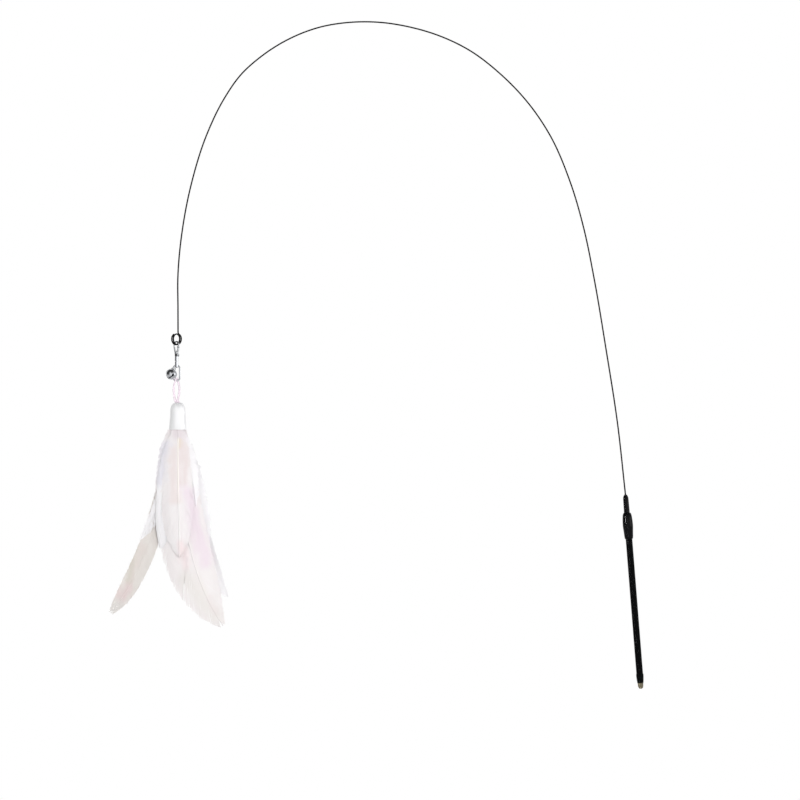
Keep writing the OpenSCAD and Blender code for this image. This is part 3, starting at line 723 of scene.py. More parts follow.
wire = grow("spring_wire_smooth", WIRE_LINE, bar_group(),
            {"Radius": WIRE_D / 2, "Sides": WIRE_SIDES, "Material": WIRE_BLACK})
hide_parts("spring_wire")
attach(wire, "wand")

# %% [markdown]
# The pink cord goes over the ring's lower bar and down into the cap, where its ends meet the knot.
# Its line follows the same points as the cord's solid: a bow round the bar, then two strands that
# hang apart and come together above the cap.

# %% Cord line
CORD_D = 1.6 * MM
CORD_SPREAD = 4.3 * MM
BODY_GAP = 0.3 * MM
RING_BAR_R = 0.6 * MM
CAP_WALL = 0.7 * MM
CAP_SHIFT = 1 * MM
CORD_END_GAP = 0.1 * MM
CORD_END_SHARE = 0.55
CORD_STEPS = 10
KNOT_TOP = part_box("cord_knot")[1][2]
RING_BAR_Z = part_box("swivel_ring")[0][2] + RING_BAR_R
CAP_LOW, CAP_HIGH = (Vector(corner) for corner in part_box("feather_cap"))
CORD_DROP = RING_BAR_Z - CAP_HIGH.z
CORD_REACH = RING_BAR_R + CORD_D / 2 + BODY_GAP
CORD_BOW_SHARE = [(0, 0, 1), (0.24, 0.76, 0.84), (0.5, 1.22, 0), (0.9, 1.1, -1.1)]
CORD_HANG_SHARE = [(0.9, 0.3, 0.22), (1, 0.12, 0.38), (0.94, 0.05, 0.55), (0.7, 0, 0.76), (0.32, 0, 0.94)]


def cord_strand(side):
    bar = Vector((HANG_X, 0, RING_BAR_Z))
    half = CORD_SPREAD / 2
    bow = [bar + CORD_REACH * Vector((side * s[0], side * s[1], s[2])) for s in CORD_BOW_SHARE]
    hang = [bar + Vector((side * half * s[0], side * half * s[1], -CORD_DROP * s[2]))
            for s in CORD_HANG_SHARE]
    end = Vector((HANG_X + CAP_SHIFT + side * CORD_D * CORD_END_SHARE, 0, KNOT_TOP + CORD_END_GAP))
    return bow + hang + [end + Vector((0, 0, CAP_WALL + BODY_GAP)), end]


def cord_points():
    right, left = cord_strand(1), cord_strand(-1)
    return smooth_curve(right[::-1] + left[1:], CORD_STEPS)


CORD_LINE = cord_points()
print("cord line", len(CORD_LINE), "points,", round(path_length(CORD_LINE) / MM), "mm")

# %% [markdown]
# The cord is three thin strands laid round each other. A plain tube with a striped bump would be
# simpler, but its edge would stay straight where a real cord's is scalloped. Each strand is a copy
# of the cord's line, pushed aside from it in a direction that turns on the way along. Where the
# cord hangs it is fluffier than where the ring's bar presses it, so the push and the strands'
# thickness swell there.

# %% Cord
STRANDS = 3
CORD_FLUFF = 0.32
CORD_LAY = 2.6 * MM
CORD_CUTS = 420
STRAND_OUT = 0.48
STRAND_THICK = 0.51
STRAND_SIDES = 8
HANGS_FROM, HANGS_FREE = 0.3, 0.6


def twisted_group():
    tree, given = node_group("twisted cord", {
        "Strands": (COUNT, STRANDS),
        "Radius": (NUMBER, CORD_D / 2),
        "Fluff": (NUMBER, CORD_FLUFF),
        "Lay": (NUMBER, CORD_LAY),
        "Material": (MATERIAL, None),
    })
    fine = resampled(tree, line_curve(tree, given), CORD_CUTS)
    copies = tree.node("GeometryNodeDuplicateElements", {"domain": "SPLINE"},
                       {"Geometry": fine, "Amount": given["Strands"]})
    which = tree.out(copies, "Duplicate Index")
    run = tree.node("GeometryNodeSplineParameter", out="Length")
    from_ring = abs(2 * tree.out(run, "Factor") - 1)
    swell = 1 + given["Fluff"] * tree.smooth(from_ring, HANGS_FROM, HANGS_FREE)
    angle = 2 * math.pi * (run / given["Lay"] + which / given["Strands"])
    normal = tree.node("GeometryNodeInputNormal")
    cross = tree.vector("CROSS_PRODUCT", tree.node("GeometryNodeInputTangent"), normal)
    round_line = tree.vector("ADD", tree.vector("SCALE", normal, angle.cos()),
                             tree.vector("SCALE", cross, angle.sin()))
    away = tree.vector("SCALE", round_line, given["Radius"] * STRAND_OUT * swell)
    laid = tree.node("GeometryNodeSetPosition", {}, {"Geometry": copies, "Offset": away})
    outline = circle(tree, STRAND_SIDES, given["Radius"] * STRAND_THICK)
    return end_group(tree, swept(tree, thickness(tree, laid, swell), outline), given["Material"])


cord = grow("cord_twisted", CORD_LINE, twisted_group(), {
    "Strands": STRANDS, "Radius": CORD_D / 2, "Fluff": CORD_FLUFF, "Lay": CORD_LAY, "Material": PINK})
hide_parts("cord_loop")
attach(cord, "toy")

# %% [markdown]
# A feather is a quill with hundreds of thin barbs on each side. Seen from a step away the barbs
# blur into one soft sheet with a ragged edge, and a flat sheet with a picture on it never looks
# like that. So each barb is a real thin blade here, with few faces.
#
# Each row of the list is one feather of the solid model: its layer from front to back, the place
# of its root, two guide points and the tip as shares of the plume's length, the half widths, and
# how blunt the tip is.

# %% Feather outlines
PLUME_L = 147 * MM
PLUME_DEPTH = 40 * MM
QUILL_D = 0.7 * MM
ROOT_HEIGHTS = (8 * MM, 4 * MM)
QUILL_STEPS = 90
ROOT_SHARE = 0.8
ROOT_WIDTH = 0.55
OPEN_SHARE = 0.1
MOUTH_OPEN_SHARE = 0.7
WIDEST_SHARE = 0.5
TIP_SHARE = 0.98
CAP_R = (CAP_HIGH.x - CAP_LOW.x) / 2
CAP_MOUTH = CAP_LOW.z
FEATHER_SHARE = {
    "feather_1": (-4.5, 0.05, (0.003, 0.209), (0.013, 0.413), (0.016, 0.648), 0.085, 0.071, 3.4),
    "feather_2": (-1.5, 0.1, (0.006, 0.362), (0.057, 0.745), (0.238, 1), 0.14, 0.1, 2.8),
    "feather_3": (2.5, 0.3, (0.072, 0.209), (0.122, 0.592), (0.26, 0.852), 0.061, 0.031, 4),
    "feather_4": (0.5, 0.4, (0.06, 0.107), (0.118, 0.321), (0.162, 0.592), 0.051, 0.037, 4),
    "feather_5": (-2.5, 0.35, (0.045, 0.056), (0.074, 0.168), (0.1, 0.393), 0.046, 0.031, 4),
    "feather_6": (1.5, -0.25, (-0.056, 0.311), (-0.126, 0.668), (-0.335, 0.936), 0.044, 0.048, 6),
    "feather_7": (-0.5, -0.35, (-0.045, 0.209), (-0.078, 0.4), (-0.186, 0.561), 0.022, 0.036, 4),
    "feather_8": (-3.5, -0.3, (-0.066, 0.107), (-0.086, 0.362), (-0.081, 0.607), 0.026, 0.066, 4),
    "feather_9": (3.5, 0.05, (-0.005, 0.26), (0.016, 0.566), (0.046, 0.796), 0.077, 0.082, 3.4),
    "feather_10": (4.5, -0.1, (-0.03, 0.158), (-0.051, 0.388), (-0.066, 0.592), 0.046, 0.071, 4),
}


def vane_share(t, blunt):
    """The vane's width at a share of the quill, against its greatest width."""
    past = max(0, (t - WIDEST_SHARE) / (1 - WIDEST_SHARE))
    near = min(1, t / WIDEST_SHARE)
    return (ROOT_WIDTH + (1 - ROOT_WIDTH) * math.sin(math.pi / 2 * near)) * (1 - past ** blunt)


def quill_line(row):
    """The quill as a flat Bezier curve, y being up from the cap's mouth, and both half widths."""
    _, root, *shares, left, right, blunt = row
    start = Vector((CAP_SHIFT + root * CAP_R * ROOT_SHARE, -BODY_GAP))
    guides = [start] + [Vector((x * PLUME_L, -y * PLUME_L)) for x, y in shares]
    points = [Vector((start.x, height)) for height in ROOT_HEIGHTS]
    widths = [(0, 0) for height in ROOT_HEIGHTS]
    for k in range(QUILL_STEPS + 1):
        t = k / QUILL_STEPS
        s = 1 - t
        at = s**3 * guides[0] + 3 * s * s * t * guides[1] + 3 * s * t * t * guides[2] + t**3 * guides[3]
        opened = min(1, max(0, (-at.y - BODY_GAP) / (OPEN_SHARE * PLUME_L)))
        wide = (MOUTH_OPEN_SHARE + (1 - MOUTH_OPEN_SHARE) * opened) * vane_share(t * TIP_SHARE, blunt)
        points.append(at)
        widths.append((left * PLUME_L * wide, right * PLUME_L * wide))
    return points, widths


print("outlines of", len(FEATHER_SHARE), "feathers")

# %% [markdown]
# The feathers lie in layers from front to back. At the cap the layers are little more than a
# quill's thickness apart, and they spread on the way down. At the bunch's sides and at the tips
# they close again, as real feathers curl inwards. Real feathers also lie pressed to each other, so
# below the cap most of them move nearer to a neighbour than they are in the plain solids.

# %% Feather layers
LAYER_GAP = PLUME_DEPTH / (len(FEATHER_SHARE) - 1)
QUILL_PITCH = 0.92 * MM
BUNCH_SHARE = 0.17
BUNCH_WIDE_BY = 0.35
DRIFT_SHARE = 0.095
CUP_SHARE = 0.7
CUP_RATE = 3
CURL_SHARE = 0.15
TIP_CURL_SHARE = 0.22
PRESSED_BY = 0.25
PRESSED_RANK = {
    "feather_1": -4.5, "feather_8": -3.8, "feather_5": -3.2, "feather_2": -2.5, "feather_4": -0.6,
    "feather_7": -1.3, "feather_3": 1.4, "feather_6": 0.6, "feather_9": 3.5, "feather_10": 4.5,
}


def clamp01(value):
    return np.clip(value, 0, 1)


def layer_depth(rank, pressed, x, down, across, along):
    """How far behind the bunch's middle each point lies."""
    fall = clamp01(down / PLUME_L)
    rank = rank + (pressed - rank) * clamp01(fall / PRESSED_BY)
    middle = CAP_SHIFT + DRIFT_SHARE * PLUME_L * fall ** 2
    half = CAP_R + (BUNCH_SHARE * PLUME_L - CAP_R) * clamp01(down / (BUNCH_WIDE_BY * PLUME_L))
    side = clamp01(np.abs(x - middle) / half)
    spread = QUILL_PITCH + (LAYER_GAP - QUILL_PITCH) * (1 - (1 - fall) ** 2)
    curl = CURL_SHARE * clamp01(across) ** 2 + TIP_CURL_SHARE * clamp01(along) ** 3
    return rank * spread * (1 - CUP_SHARE * clamp01(CUP_RATE * fall) * side ** 2 - curl)


print("layers at most", round(LAYER_GAP / MM, 1), "mm apart")

# %% [markdown]
# A tree makes one side of a feather's vane and is run for each side. For a point on the quill it
# works out where the barb's tip lies, at the vane's edge, and then steps back towards the root, to
# where such a barb must start. Near the cap barbs stand out wide, and near the tip they lie close
# to the quill, which is what gives a feather its pointed end. Slow noise along the quill gathers
# the barbs into clumps, and a little chance makes the edge ragged.

# %% Where each barb starts and ends
VECTOR = "FLOAT_VECTOR"
NOISE_MIDDLE = 0.5
CLUMPS_A_METRE = 260
CLUMP_SIDE_STEP = 3
CLUMP_SEED_STEP = 1.7
CLUMP_ROUGH = 0.6
CLUMP_SPLAYS = 0.6
CLUMP_REACHES = 0.9
RAGGED = (-0.08, 0.06)
START_SHARE = 0.02
OWN_SEED_STEP = 7


def named(tree, title, kind="FLOAT"):
    return tree.node("GeometryNodeInputNamedAttribute", {"data_type": kind}, {"Name": title})


def keep(tree, geometry, title, value, kind="FLOAT"):
    """Stores a value on the geometry's points under a name."""
    return tree.node("GeometryNodeStoreNamedAttribute", {"data_type": kind, "domain": "POINT"},
                     {"Geometry": geometry, "Name": title, "Value": value})


def chance(tree, low, high, seed):
    sockets = {2: low, 3: high, "Seed": seed}
    return tree.node("FunctionNodeRandomValue", {"data_type": "FLOAT"}, sockets, out=1)


def barb_places(tree, given):
    """Points along the quill that know where their barb starts, where it ends and its seed."""
    quill = line_curve(tree, given)
    spline = tree.node("GeometryNodeSplineParameter", out="Factor")
    marked = keep(tree, resampled(tree, quill, given["Barbs"]), "along", spline)
    marked = keep(tree, marked, "run", tree.out(spline, "Length"))
    marked = keep(tree, marked, "heading", tree.node("GeometryNodeInputTangent"), VECTOR)
    seed, side, fluff = given["Seed"], given["Side"], given["Fluff"]
    along, run, half = named(tree, "along"), named(tree, "run"), named(tree, "half")
    clump_at = tree.xyz(X=run * CLUMPS_A_METRE, Y=side * CLUMP_SIDE_STEP, Z=seed * CLUMP_SEED_STEP)
    clump = tree.noise(clump_at, detail=3, rough=CLUMP_ROUGH) - NOISE_MIDDLE
    splay = given["Wide Splay"] + (given["Tip Splay"] - given["Wide Splay"]) * along
    splay = splay + clump * fluff * CLUMP_SPLAYS
    even_reach = half * (1 + clump * fluff * CLUMP_REACHES)
    reach = even_reach + half * chance(tree, *RAGGED, seed)
    start_run = run - even_reach * splay.cos() / splay.sin()
    start_run = tree.maths("MAXIMUM", run * START_SHARE, start_run)
    start = tree.node("GeometryNodeSampleCurve", {"mode": "LENGTH", "data_type": VECTOR},
                      {"Curves": quill, "Length": start_run}, out="Position")
    outward = tree.vector("CROSS_PRODUCT", (0, 0, 1), named(tree, "heading", VECTOR))
    edge = tree.vector("ADD", tree.node("GeometryNodeInputPosition"),
                       tree.vector("SCALE", outward, reach * side))
    marked = keep(tree, marked, "barb_start", start, VECTOR)
    marked = keep(tree, marked, "barb_end", edge, VECTOR)
    return keep(tree, marked, "seed", chance(tree, 0.0, 1.0, seed + OWN_SEED_STEP))


# %% [markdown]
# On each of those points stands a copy of one short line, and its few points are then moved on to
# the barb's way from start to end. The way bows a little towards the quill's root, wanders with
# noise near its end, and each barb lies a hair above or below its neighbours.

# %% Each barb's way
BARB_POINTS = 6
BARB_BOW = 0.42
WAVES_A_METRE = 330.0
WAVE_SEED_STEP = 0.8
WAVE_ROUGH = 0.5
WAVE_REACHES = 0.9
CHANCE_MIDDLE = 0.5
LIFT_AT_START = 0.5


def barb_lines(tree, given, places, u):
    """A bent line for each barb, where u goes from 0 at its start to 1 at its end."""
    line = tree.node("GeometryNodeCurvePrimitiveLine", {"mode": "POINTS"},
                     {"Start": (0, 0, 0), "End": (1, 0, 0)})
    line = resampled(tree, line, BARB_POINTS)
    rows = tree.node("GeometryNodeInstanceOnPoints", {}, {"Points": places, "Instance": line})
    barbs = tree.node("GeometryNodeRealizeInstances", {}, {"Geometry": rows})
    start, heading = named(tree, "barb_start", VECTOR), named(tree, "heading", VECTOR)
    own = named(tree, "seed")
    span = tree.vector("SUBTRACT", named(tree, "barb_end", VECTOR), start)
    size = tree.vector("LENGTH", span, out="Value")
    straight = tree.vector("ADD", start, tree.vector("SCALE", span, u))
    bow = tree.vector("SCALE", heading, size * u * (1 - u) * -BARB_BOW)
    bent = tree.vector("ADD", straight, bow)
    wave_at = tree.vector("ADD", tree.vector("SCALE", bent, WAVES_A_METRE),
                          tree.xyz(Z=own * WAVE_SEED_STEP + given["Seed"]))
    wave = tree.noise(wave_at, detail=2, rough=WAVE_ROUGH, out="Color")
    wave = tree.vector("SUBTRACT", wave, (NOISE_MIDDLE, NOISE_MIDDLE, NOISE_MIDDLE))
    wave = tree.vector("SCALE", wave, size * u * u * given["Fluff"] * WAVE_REACHES)
    waved = tree.vector("ADD", bent, wave)
    lift = given["Lift"] * (own - CHANCE_MIDDLE) * (LIFT_AT_START + u)
    lifted = tree.vector("ADD", waved, tree.xyz(Z=lift))
    return tree.node("GeometryNodeSetPosition", {}, {"Geometry": barbs, "Position": lifted})


# %% [markdown]
# The lines become blades: a flattened triangle is swept along each, and thins towards its end. The
# inputs that differ between feathers are the barbs' number, their side, fluff, taper and seed.

# %% Vane tree
BARB_PITCH = 0.22 * MM
BARB_SIDES = 3
BARB_FLATNESS = 0.22
BARB_THINS = 1.6


def vane_group():
    tree, given = node_group("feather vane", {
        "Barbs": (COUNT, 400),
        "Side": (NUMBER, 1.0),
        "Wide Splay": (NUMBER, 0.95),
        "Tip Splay": (NUMBER, 0.4),
        "Barb Width": (NUMBER, 0.6 * MM),
        "Lift": (NUMBER, 0.12 * MM),
        "Fluff": (NUMBER, 0.2),
        "Taper": (NUMBER, 0.88),
        "Seed": (COUNT, 1),
        "Material": (MATERIAL, None),
    })
    u = tree.node("GeometryNodeSplineParameter", out="Factor")
    barbs = keep(tree, barb_lines(tree, given, barb_places(tree, given), u), "across", u)
    barbs = tree.node("GeometryNodeSetCurveNormal", {"mode": "Z_UP"}, {"Curve": barbs})
    barbs = thickness(tree, barbs, 1 - given["Taper"] * u ** BARB_THINS)
    section = circle(tree, BARB_SIDES, given["Barb Width"] / 2)
    flat = tree.node("GeometryNodeTransform", {}, {"Geometry": section, "Scale": (1, BARB_FLATNESS, 1)})
    return end_group(tree, swept(tree, barbs, flat), given["Material"], smooth=False)


VANE = vane_group()
print("vane tree with", len(VANE.nodes), "nodes")

# %% [markdown]
# The quill is a round bar that thins to its tip. Its points are marked with -1 where the barbs
# have 0 to 1, so that the finish can tell the quill from the vane.

# %% Quill tree
QUILL_SIDES = 8
QUILL_THINS = 0.82


def quill_group():
    tree, given = node_group("quill", {
        "Radius": (NUMBER, QUILL_D / 2),
        "Material": (MATERIAL, None),
    })
    spline = tree.node("GeometryNodeSplineParameter", out="Factor")
    marked = keep(tree, line_curve(tree, given), "along", spline)
    marked = keep(tree, marked, "across", -1.0)
    stem = swept(tree, thickness(tree, marked, 1 - QUILL_THINS * spline),
                 circle(tree, QUILL_SIDES, given["Radius"]))
    return end_group(tree, stem, given["Material"])


QUILL = quill_group()
print("quill tree with", len(QUILL.nodes), "nodes")

# %% [markdown]
# Dyed white feathers are never one white. The picture shows faint marks on them: rosy beside the
# front quill, mauve down the right, a little olive on the long left one. Each mark is a soft streak
# between two points of the picture, and the same streak lies on every feather that passes there,
# because the dye ran through the whole bunch.

# %% Tints of the bunch
# Start and end in pixels of the picture, half width in pixels, colour, and how strong it is
TINT_MARKS_PX = [
    ((176, 430), (180, 434), 13, (226, 214, 219), 0.55),
    ((180, 441), (180, 446), 5, (240, 230, 214), 0.8),
    ((183, 446), (184, 482), 9, (236, 222, 221), 0.6),
    ((173, 450), (175, 500), 8, (242, 230, 228), 0.6),
    ((164, 445), (160, 482), 9, (232, 230, 240), 0.6),
    ((187, 492), (205, 562), 12, (243, 226, 238), 0.6),
    ((181, 545), (186, 566), 9, (250, 233, 234), 0.6),
    ((187, 558), (187, 576), 3, (232, 222, 224), 0.4),
    ((186, 578), (214, 616), 16, (240, 236, 232), 0.7),
    ((212, 598), (215, 612), 7, (240, 230, 230), 0.4),
    ((134, 546), (128, 582), 7, (218, 213, 202), 0.7),
    ((142, 546), (132, 580), 6, (230, 218, 214), 0.4),
    ((128, 588), (121, 597), 10, (230, 212, 212), 0.75),
    ((117, 604), (111, 612), 10, (226, 224, 222), 0.5),
]
DRIFT_BY = 12 * MM


def picture_place(px):
    """A pixel of the picture as metres across and up."""
    return Vector(((px[0] - GRIP_PX[0]) * PIXEL, 0, (GRIP_PX[1] - px[1]) * PIXEL))


def streak_mask(f, flat, start, end, half_width):
    """1 on the line from start to end, falling softly to 0 at the half width."""
    line = end - start
    from_start = f.vector("SUBTRACT", flat, tuple(start))
    run = f.vector("DOT_PRODUCT", from_start, tuple(line), out="Value") / line.length_squared
    nearest = f.vector("SCALE", tuple(line), run.clamp())
    away = f.vector("LENGTH", f.vector("SUBTRACT", from_start, nearest), out="Value")
    return f.smooth(away, half_width, 0.0)


def tinted(f, colour):
    """The colour with every mark of the bunch laid over it, at places that slow noise shifts."""
    flat = f.vector("MULTIPLY", f.place(), (1, 0, 1))
    drift = f.pattern((140, 140, 60), detail=3)
    flat = f.vector("ADD", flat, f.xyz(X=(drift - NOISE_MIDDLE) * DRIFT_BY))
    for start, end, half_width, tint, strength in TINT_MARKS_PX:
        mask = streak_mask(f, flat, picture_place(start), picture_place(end), half_width * PIXEL)
        colour = f.mix(mask * strength, colour, srgb(*tint))
    return colour


print("marks on the feathers:", len(TINT_MARKS_PX))

# %% [markdown]
# A feather takes up light from behind as well as from the front, so its shader mixes a plain
# surface with a translucent one. The colour comes from each barb's own small difference, from slow
# stains, from the marks of the bunch, and from the quill, which shows on the front feather as a
# pale line down to where it sinks between the barbs.

# %% Feather finish
QUILL_RISES = (0.13, 0.15)
QUILL_SINKS = (0.62, 0.5)
OFF_QUILL, ON_QUILL = -0.1, -0.5
STAINS = (0.4, 0.75)
BARB_OWN = 0.35
SHINES_THROUGH = 0.1


def quill_mask(f):
    """1 on the bare quill. Along it the line starts sharply and fades out slowly."""
    along = f.attribute("along")
    bare = f.between(along, *QUILL_SINKS) * f.between(along, *QUILL_RISES)
    return f.between(f.attribute("across"), OFF_QUILL, ON_QUILL) * bare


def feather_finish(name, pale, deep, quill):
    f = Finish(name, specular_ior_level=0.2, sheen_weight=0.15, sheen_roughness=0.6)
    seed = f.attribute("seed")
    stains = f.between(f.pattern((90, 90, 34), detail=3), *STAINS)
    depth = BARB_OWN * seed + (1 - BARB_OWN) * stains
    colour = tinted(f, f.mix(depth.clamp(), srgb(*pale), srgb(*deep)))
    colour = f.mix(quill_mask(f), colour, srgb(*quill))
    f.set("Base Color", colour)
    f.set("Roughness", 0.62 + 0.2 * seed)
    f.bump(f.pattern((2600, 2600, 900), detail=2), distance=0.02 * MM, strength=0.4)
    glow = f.node("ShaderNodeBsdfTranslucent", {}, {"Color": colour})
    surface = Value(f, f.shader.outputs[0])
    both = f.node("ShaderNodeMixShader", {}, {0: SHINES_THROUGH, 1: surface, 2: glow})
    f.put(f.data.nodes["Material Output"].inputs["Surface"], both)
    return f.material


# The barbs' palest and deepest colour, and the quill's
FEATHER_COLOURS = {
    "white": ((250, 247, 247), (245, 240, 241), (255, 249, 245)),
    "pink": ((250, 246, 246), (245, 240, 240), (246, 241, 242)),
    "lilac": ((255, 254, 255), (253, 251, 254), (246, 241, 242)),
    "olive": ((239, 235, 231), (229, 223, 218), (236, 230, 226)),
}
FEATHER_FINISH = {
    "feather_" + tint: feather_finish("feather " + tint, *colours)
    for tint, colours in FEATHER_COLOURS.items()
}
print("feather finishes", len(FEATHER_FINISH))

# %% [markdown]
# A feather is grown flat, first the quill and then the two sides of its vane. Each side's tree
# reads the vane's half width from its quill's points. The three meshes are then joined.

# %% Flat feathers
# Finish, fluff, the barbs' spacing, how much each barb thins, and the quill's thickness
FEATHER_LOOK = {
    "feather_1": ("feather_white", 0.16, 1, 0.93, 1.9),
    "feather_2": ("feather_pink", 0.05, 1, 0.88, 1),
    "feather_3": ("feather_lilac", 0.2, 1, 0.88, 1),
    "feather_4": ("feather_lilac", 0.5, 1, 0.88, 1),
    "feather_5": ("feather_lilac", 0.55, 1, 0.9, 1),
    "feather_6": ("feather_olive", 0.08, 1, 0.9, 1),
    "feather_7": ("feather_lilac", 0.6, 3.2, 0.85, 1),
    "feather_8": ("feather_lilac", 0.25, 1, 0.9, 1),
    "feather_9": ("feather_pink", 0.2, 1, 0.88, 1),
    "feather_10": ("feather_white", 0.25, 1, 0.88, 1),
}
SEEDS_A_FEATHER = 10


def flat_part(name, points, group, values, widths=None):
    line = line_mesh(name, [(p.x, p.y, 0) for p in points])
    if widths:
        line.attributes.new("half", "FLOAT", "POINT").data.foreach_set("value", widths)
    return grown(line, group, values)


def join(name, meshes):
    pieces = [add_object(name, mesh) for mesh in meshes]
    with bpy.context.temp_override(active_object=pieces[0], selected_editable_objects=pieces):
        bpy.ops.object.join()
    pieces[0].name = name
    return pieces[0]


def flat_feather(name, number):
    """A feather in one plane, its quill along -Y."""
    slot, fluff, spacing, taper, stem = FEATHER_LOOK[name]
    material = FEATHER_FINISH[slot]
    points, widths = quill_line(FEATHER_SHARE[name])
    meshes = [flat_part(name, points, QUILL, {"Radius": stem * QUILL_D / 2, "Material": material})]
    below_cap = points[len(ROOT_HEIGHTS):]
    count = round(path_length(below_cap) / BARB_PITCH / spacing)
    for side, half in zip((-1, 1), zip(*widths[len(ROOT_HEIGHTS):])):
        meshes.append(flat_part(name, below_cap, VANE, {
            "Barbs": count, "Side": float(side), "Fluff": fluff, "Taper": taper,
            "Seed": number * SEEDS_A_FEATHER + side, "Material": material}, half))
    return join(name + "_barbs", meshes)


print("looks of", len(FEATHER_LOOK), "feathers")

# %% [markdown]
# Then every point of a flat feather is moved to its layer's depth, which bends the feather round the
# bunch, and the feather hangs on the toy in place of its plain solid, which is hidden.


# %% Feathers
def read(data, field, width=1):
    """A field of all points or of an attribute, as an array."""
    values = np.empty(len(data) * width)
    data.foreach_get(field, values)
    return values


def bend_to_layer(mesh, name):
    co = read(mesh.vertices, "co", 3).reshape(-1, 3)
    across, along = (read(mesh.attributes[title].data, "value") for title in ("across", "along"))
    x, down, lift = co[:, 0], -co[:, 1], co[:, 2]
    depth = layer_depth(FEATHER_SHARE[name][0], PRESSED_RANK[name], x, down, across, along)
    bent = np.stack([HANG_X + x, depth - lift, CAP_MOUTH - down], 1)
    mesh.vertices.foreach_set("co", bent.ravel())
    mesh.update()


for number, name in enumerate(FEATHER_SHARE):
    feather = flat_feather(name, number)
    bend_to_layer(feather.data, name)
    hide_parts(name)
    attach(feather, "toy")
    print(name, len(feather.data.polygons), "faces")

# %% [markdown]
# The stage is a pale floor just under the handle's tip. The camera sees it edge on, so it is a
# narrow strip with the wand's shadow there. It glows a little to the camera alone, and more and
# more towards its rim, so that from other sides too it ends in white.

# %% Floor
FLOOR_Z = CAD_LOW[2] - 0.3 * MM
FLOOR_HALF = 1.6
FLOOR_LIFT = 0.22
FLOOR_FADES = (0.4, FLOOR_HALF - 0.2)


def floor_pale():
    f = Finish("floor pale", roughness=0.9, specular_ior_level=0.1)
    f.set("Base Color", f.mix(f.pattern((6, 6, 6), detail=2), srgb(246, 246, 246), srgb(250, 250, 250)))
    seen = f.node("ShaderNodeLightPath", out="Is Camera Ray")
    far = f.between(f.vector("LENGTH", f.place(), out="Value"), *FLOOR_FADES)
    lift = FLOOR_LIFT + (1 - FLOOR_LIFT) * far
    f.set("Emission Color", f.mix(seen * lift, (0, 0, 0, 1), (1, 1, 1, 1)))
    f.set("Emission Strength", 1.0)
    return f.material


def make_floor():
    signs = [(-1, -1), (1, -1), (1, 1), (-1, 1)]
    corners = [(PICTURE_MIDDLE_X + x * FLOOR_HALF, y * FLOOR_HALF, FLOOR_Z) for x, y in signs]
    mesh = bpy.data.meshes.new("floor")
    mesh.from_pydata(corners, [], [(0, 1, 2, 3)])
    floor = add_object("floor", mesh)
    paint(floor, floor_pale())


make_floor()
print("floor", 2 * FLOOR_HALF, "m wide, at", round(FLOOR_Z, 4))

# %% [markdown]
# The world is white to the camera, and dimmer to the object, which would lose its shape in light
# that comes from everywhere. What a polished surface mirrors is a third thing: a studio with a
# softbox at the front, darker sides and white behind, because chrome with nothing dark round it
# looks like plain white paint.

# %% World
SOFTBOX_AIM = (0.4, -1, 0.1)
SOFTBOX_SIDE = (0.42, 0.54)
SOFTBOX_TOP = (0.75, 0.05)
BEHIND_EDGE = (0.45, 0.75)
RIGHT_EDGE = (0.3, 0.9)
SIDE_LEVEL = 0.06
RIGHT_LEVEL = 0.5
DIFFUSE_LEVEL = 0.36


def facing(tree, direction, low, high):
    """0 to 1 as a ray turns from low to high towards a direction."""
    toward = tree.node("ShaderNodeTexCoord", out="Generated")
    aim = tuple(Vector(direction).normalized())
    return tree.smooth(tree.vector("DOT_PRODUCT", toward, aim, out="Value"), low, high)


def make_world():
    world = bpy.data.worlds.new("studio")
    world.use_nodes = True
    SCENE.world = world
    tree = Tree(world.node_tree)
    ray = tree.node("ShaderNodeLightPath", out="Is Camera Ray")
    straight = tree.out(ray, "Is Transmission Ray") * (1 - tree.out(ray, "Is Diffuse Ray"))
    mirror = (tree.out(ray, "Is Glossy Ray") + straight).clamp()
    softbox = facing(tree, SOFTBOX_AIM, *SOFTBOX_SIDE) * facing(tree, (0, 0, 1), *SOFTBOX_TOP)
    behind = facing(tree, (0, 1, 0), *BEHIND_EDGE)
    sides = SIDE_LEVEL + (RIGHT_LEVEL - SIDE_LEVEL) * facing(tree, (1, 0, 0), *RIGHT_EDGE)
    studio = sides + (1 - sides) * tree.maths("MAXIMUM", softbox, behind)
    soft = DIFFUSE_LEVEL + (1 - DIFFUSE_LEVEL) * ray
    background = world.node_tree.nodes["Background"]
    background.inputs["Color"].default_value = (1, 1, 1, 1)
    tree.put(background.inputs["Strength"], soft + (studio - soft) * mirror)


make_world()
print("world", SCENE.world.name, "at", DIFFUSE_LEVEL, "for the object")

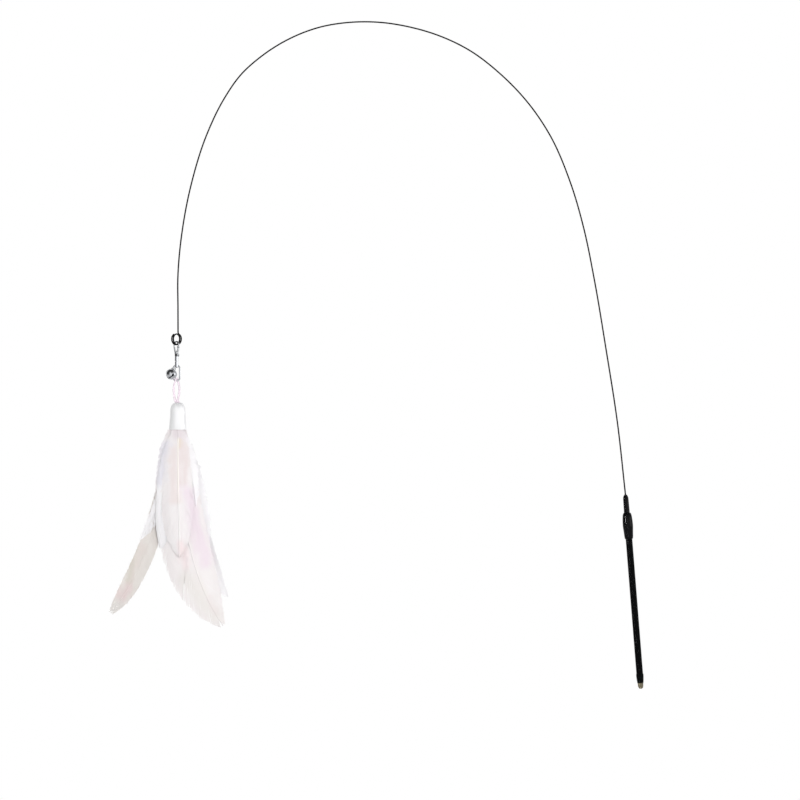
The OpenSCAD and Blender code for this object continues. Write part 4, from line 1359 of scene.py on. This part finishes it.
# %% [markdown]
# Four panels light the wand evenly from all round. The front one is small and sits almost on the
# view's axis, so that each feather hides its own shadow on the next. A key from the upper left and
# a fill from the right add shape, and two lamps are there for the glossy barrel: a narrow strip
# that draws its highlight, and a rim light on its right side. The panels and the fill stay out of
# mirrors, or the chrome would show them all. The Standard view transform then leaves each colour
# as bright as it was written, where the usual one would grey the white feathers.

# %% Lamps
PICTURE_MIDDLE = Vector((PICTURE_MIDDLE_X, 0, PICTURE_MIDDLE_Z))
BARREL_LOW, BARREL_HIGH = (Vector(corner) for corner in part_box("wire_socket"))
BARREL_MIDDLE = (BARREL_LOW + BARREL_HIGH) / 2
# Aim, degrees round and up from the viewer, distance, width and height in metres, watts, whether
# mirrors show it, and its beam in degrees
LAMPS = {
    "front": (PICTURE_MIDDLE, 1, 2, 1.7, (0.35, 0.35), 15.4, False, 180),
    "right": (PICTURE_MIDDLE, 88, 10, 1.7, (0.9, 0.9), 2.6, False, 180),
    "left": (PICTURE_MIDDLE, -88, 10, 1.7, (0.9, 0.9), 4, False, 180),
    "back": (PICTURE_MIDDLE, 172, 12, 1.7, (0.9, 0.9), 11, False, 180),
    "key": (PICTURE_MIDDLE, -35, 30, 1.56, (0.7, 0.7), 0.7, True, 180),
    "fill": (PICTURE_MIDDLE, 38, 7, 1.53, (0.9, 0.9), 0.8, False, 180),
    "strip": (BARREL_MIDDLE, -50, 6, 1.4, (0.12, 0.2), 0.12, True, 16),
    "rim": (BARREL_MIDDLE, 75, 8, 1.2, (0.9, 0.28), 1.7, True, 180),
}


def lamp(name, aim, azimuth, elevation, distance, size, watts, in_mirrors, beam):
    """A lamp at an angle round from the viewer, right being positive, and above level."""
    turn, rise = math.radians(azimuth), math.radians(elevation)
    away = Vector((math.sin(turn) * math.cos(rise), -math.cos(turn) * math.cos(rise), math.sin(rise)))
    data = bpy.data.lights.new(name, "AREA")
    data.shape = "RECTANGLE"
    data.size, data.size_y = size
    data.energy = watts
    data.spread = math.radians(beam)
    piece = add_object(name, data)
    piece.location = aim + distance * away
    piece.rotation_euler = (-away).to_track_quat("-Z", "Y").to_euler()
    piece.visible_glossy = in_mirrors
    print(name, "at", [round(c, 2) for c in piece.location], watts, "W")


for name, row in LAMPS.items():
    lamp(name, *row)

SCENE.view_settings.view_transform = "Standard"
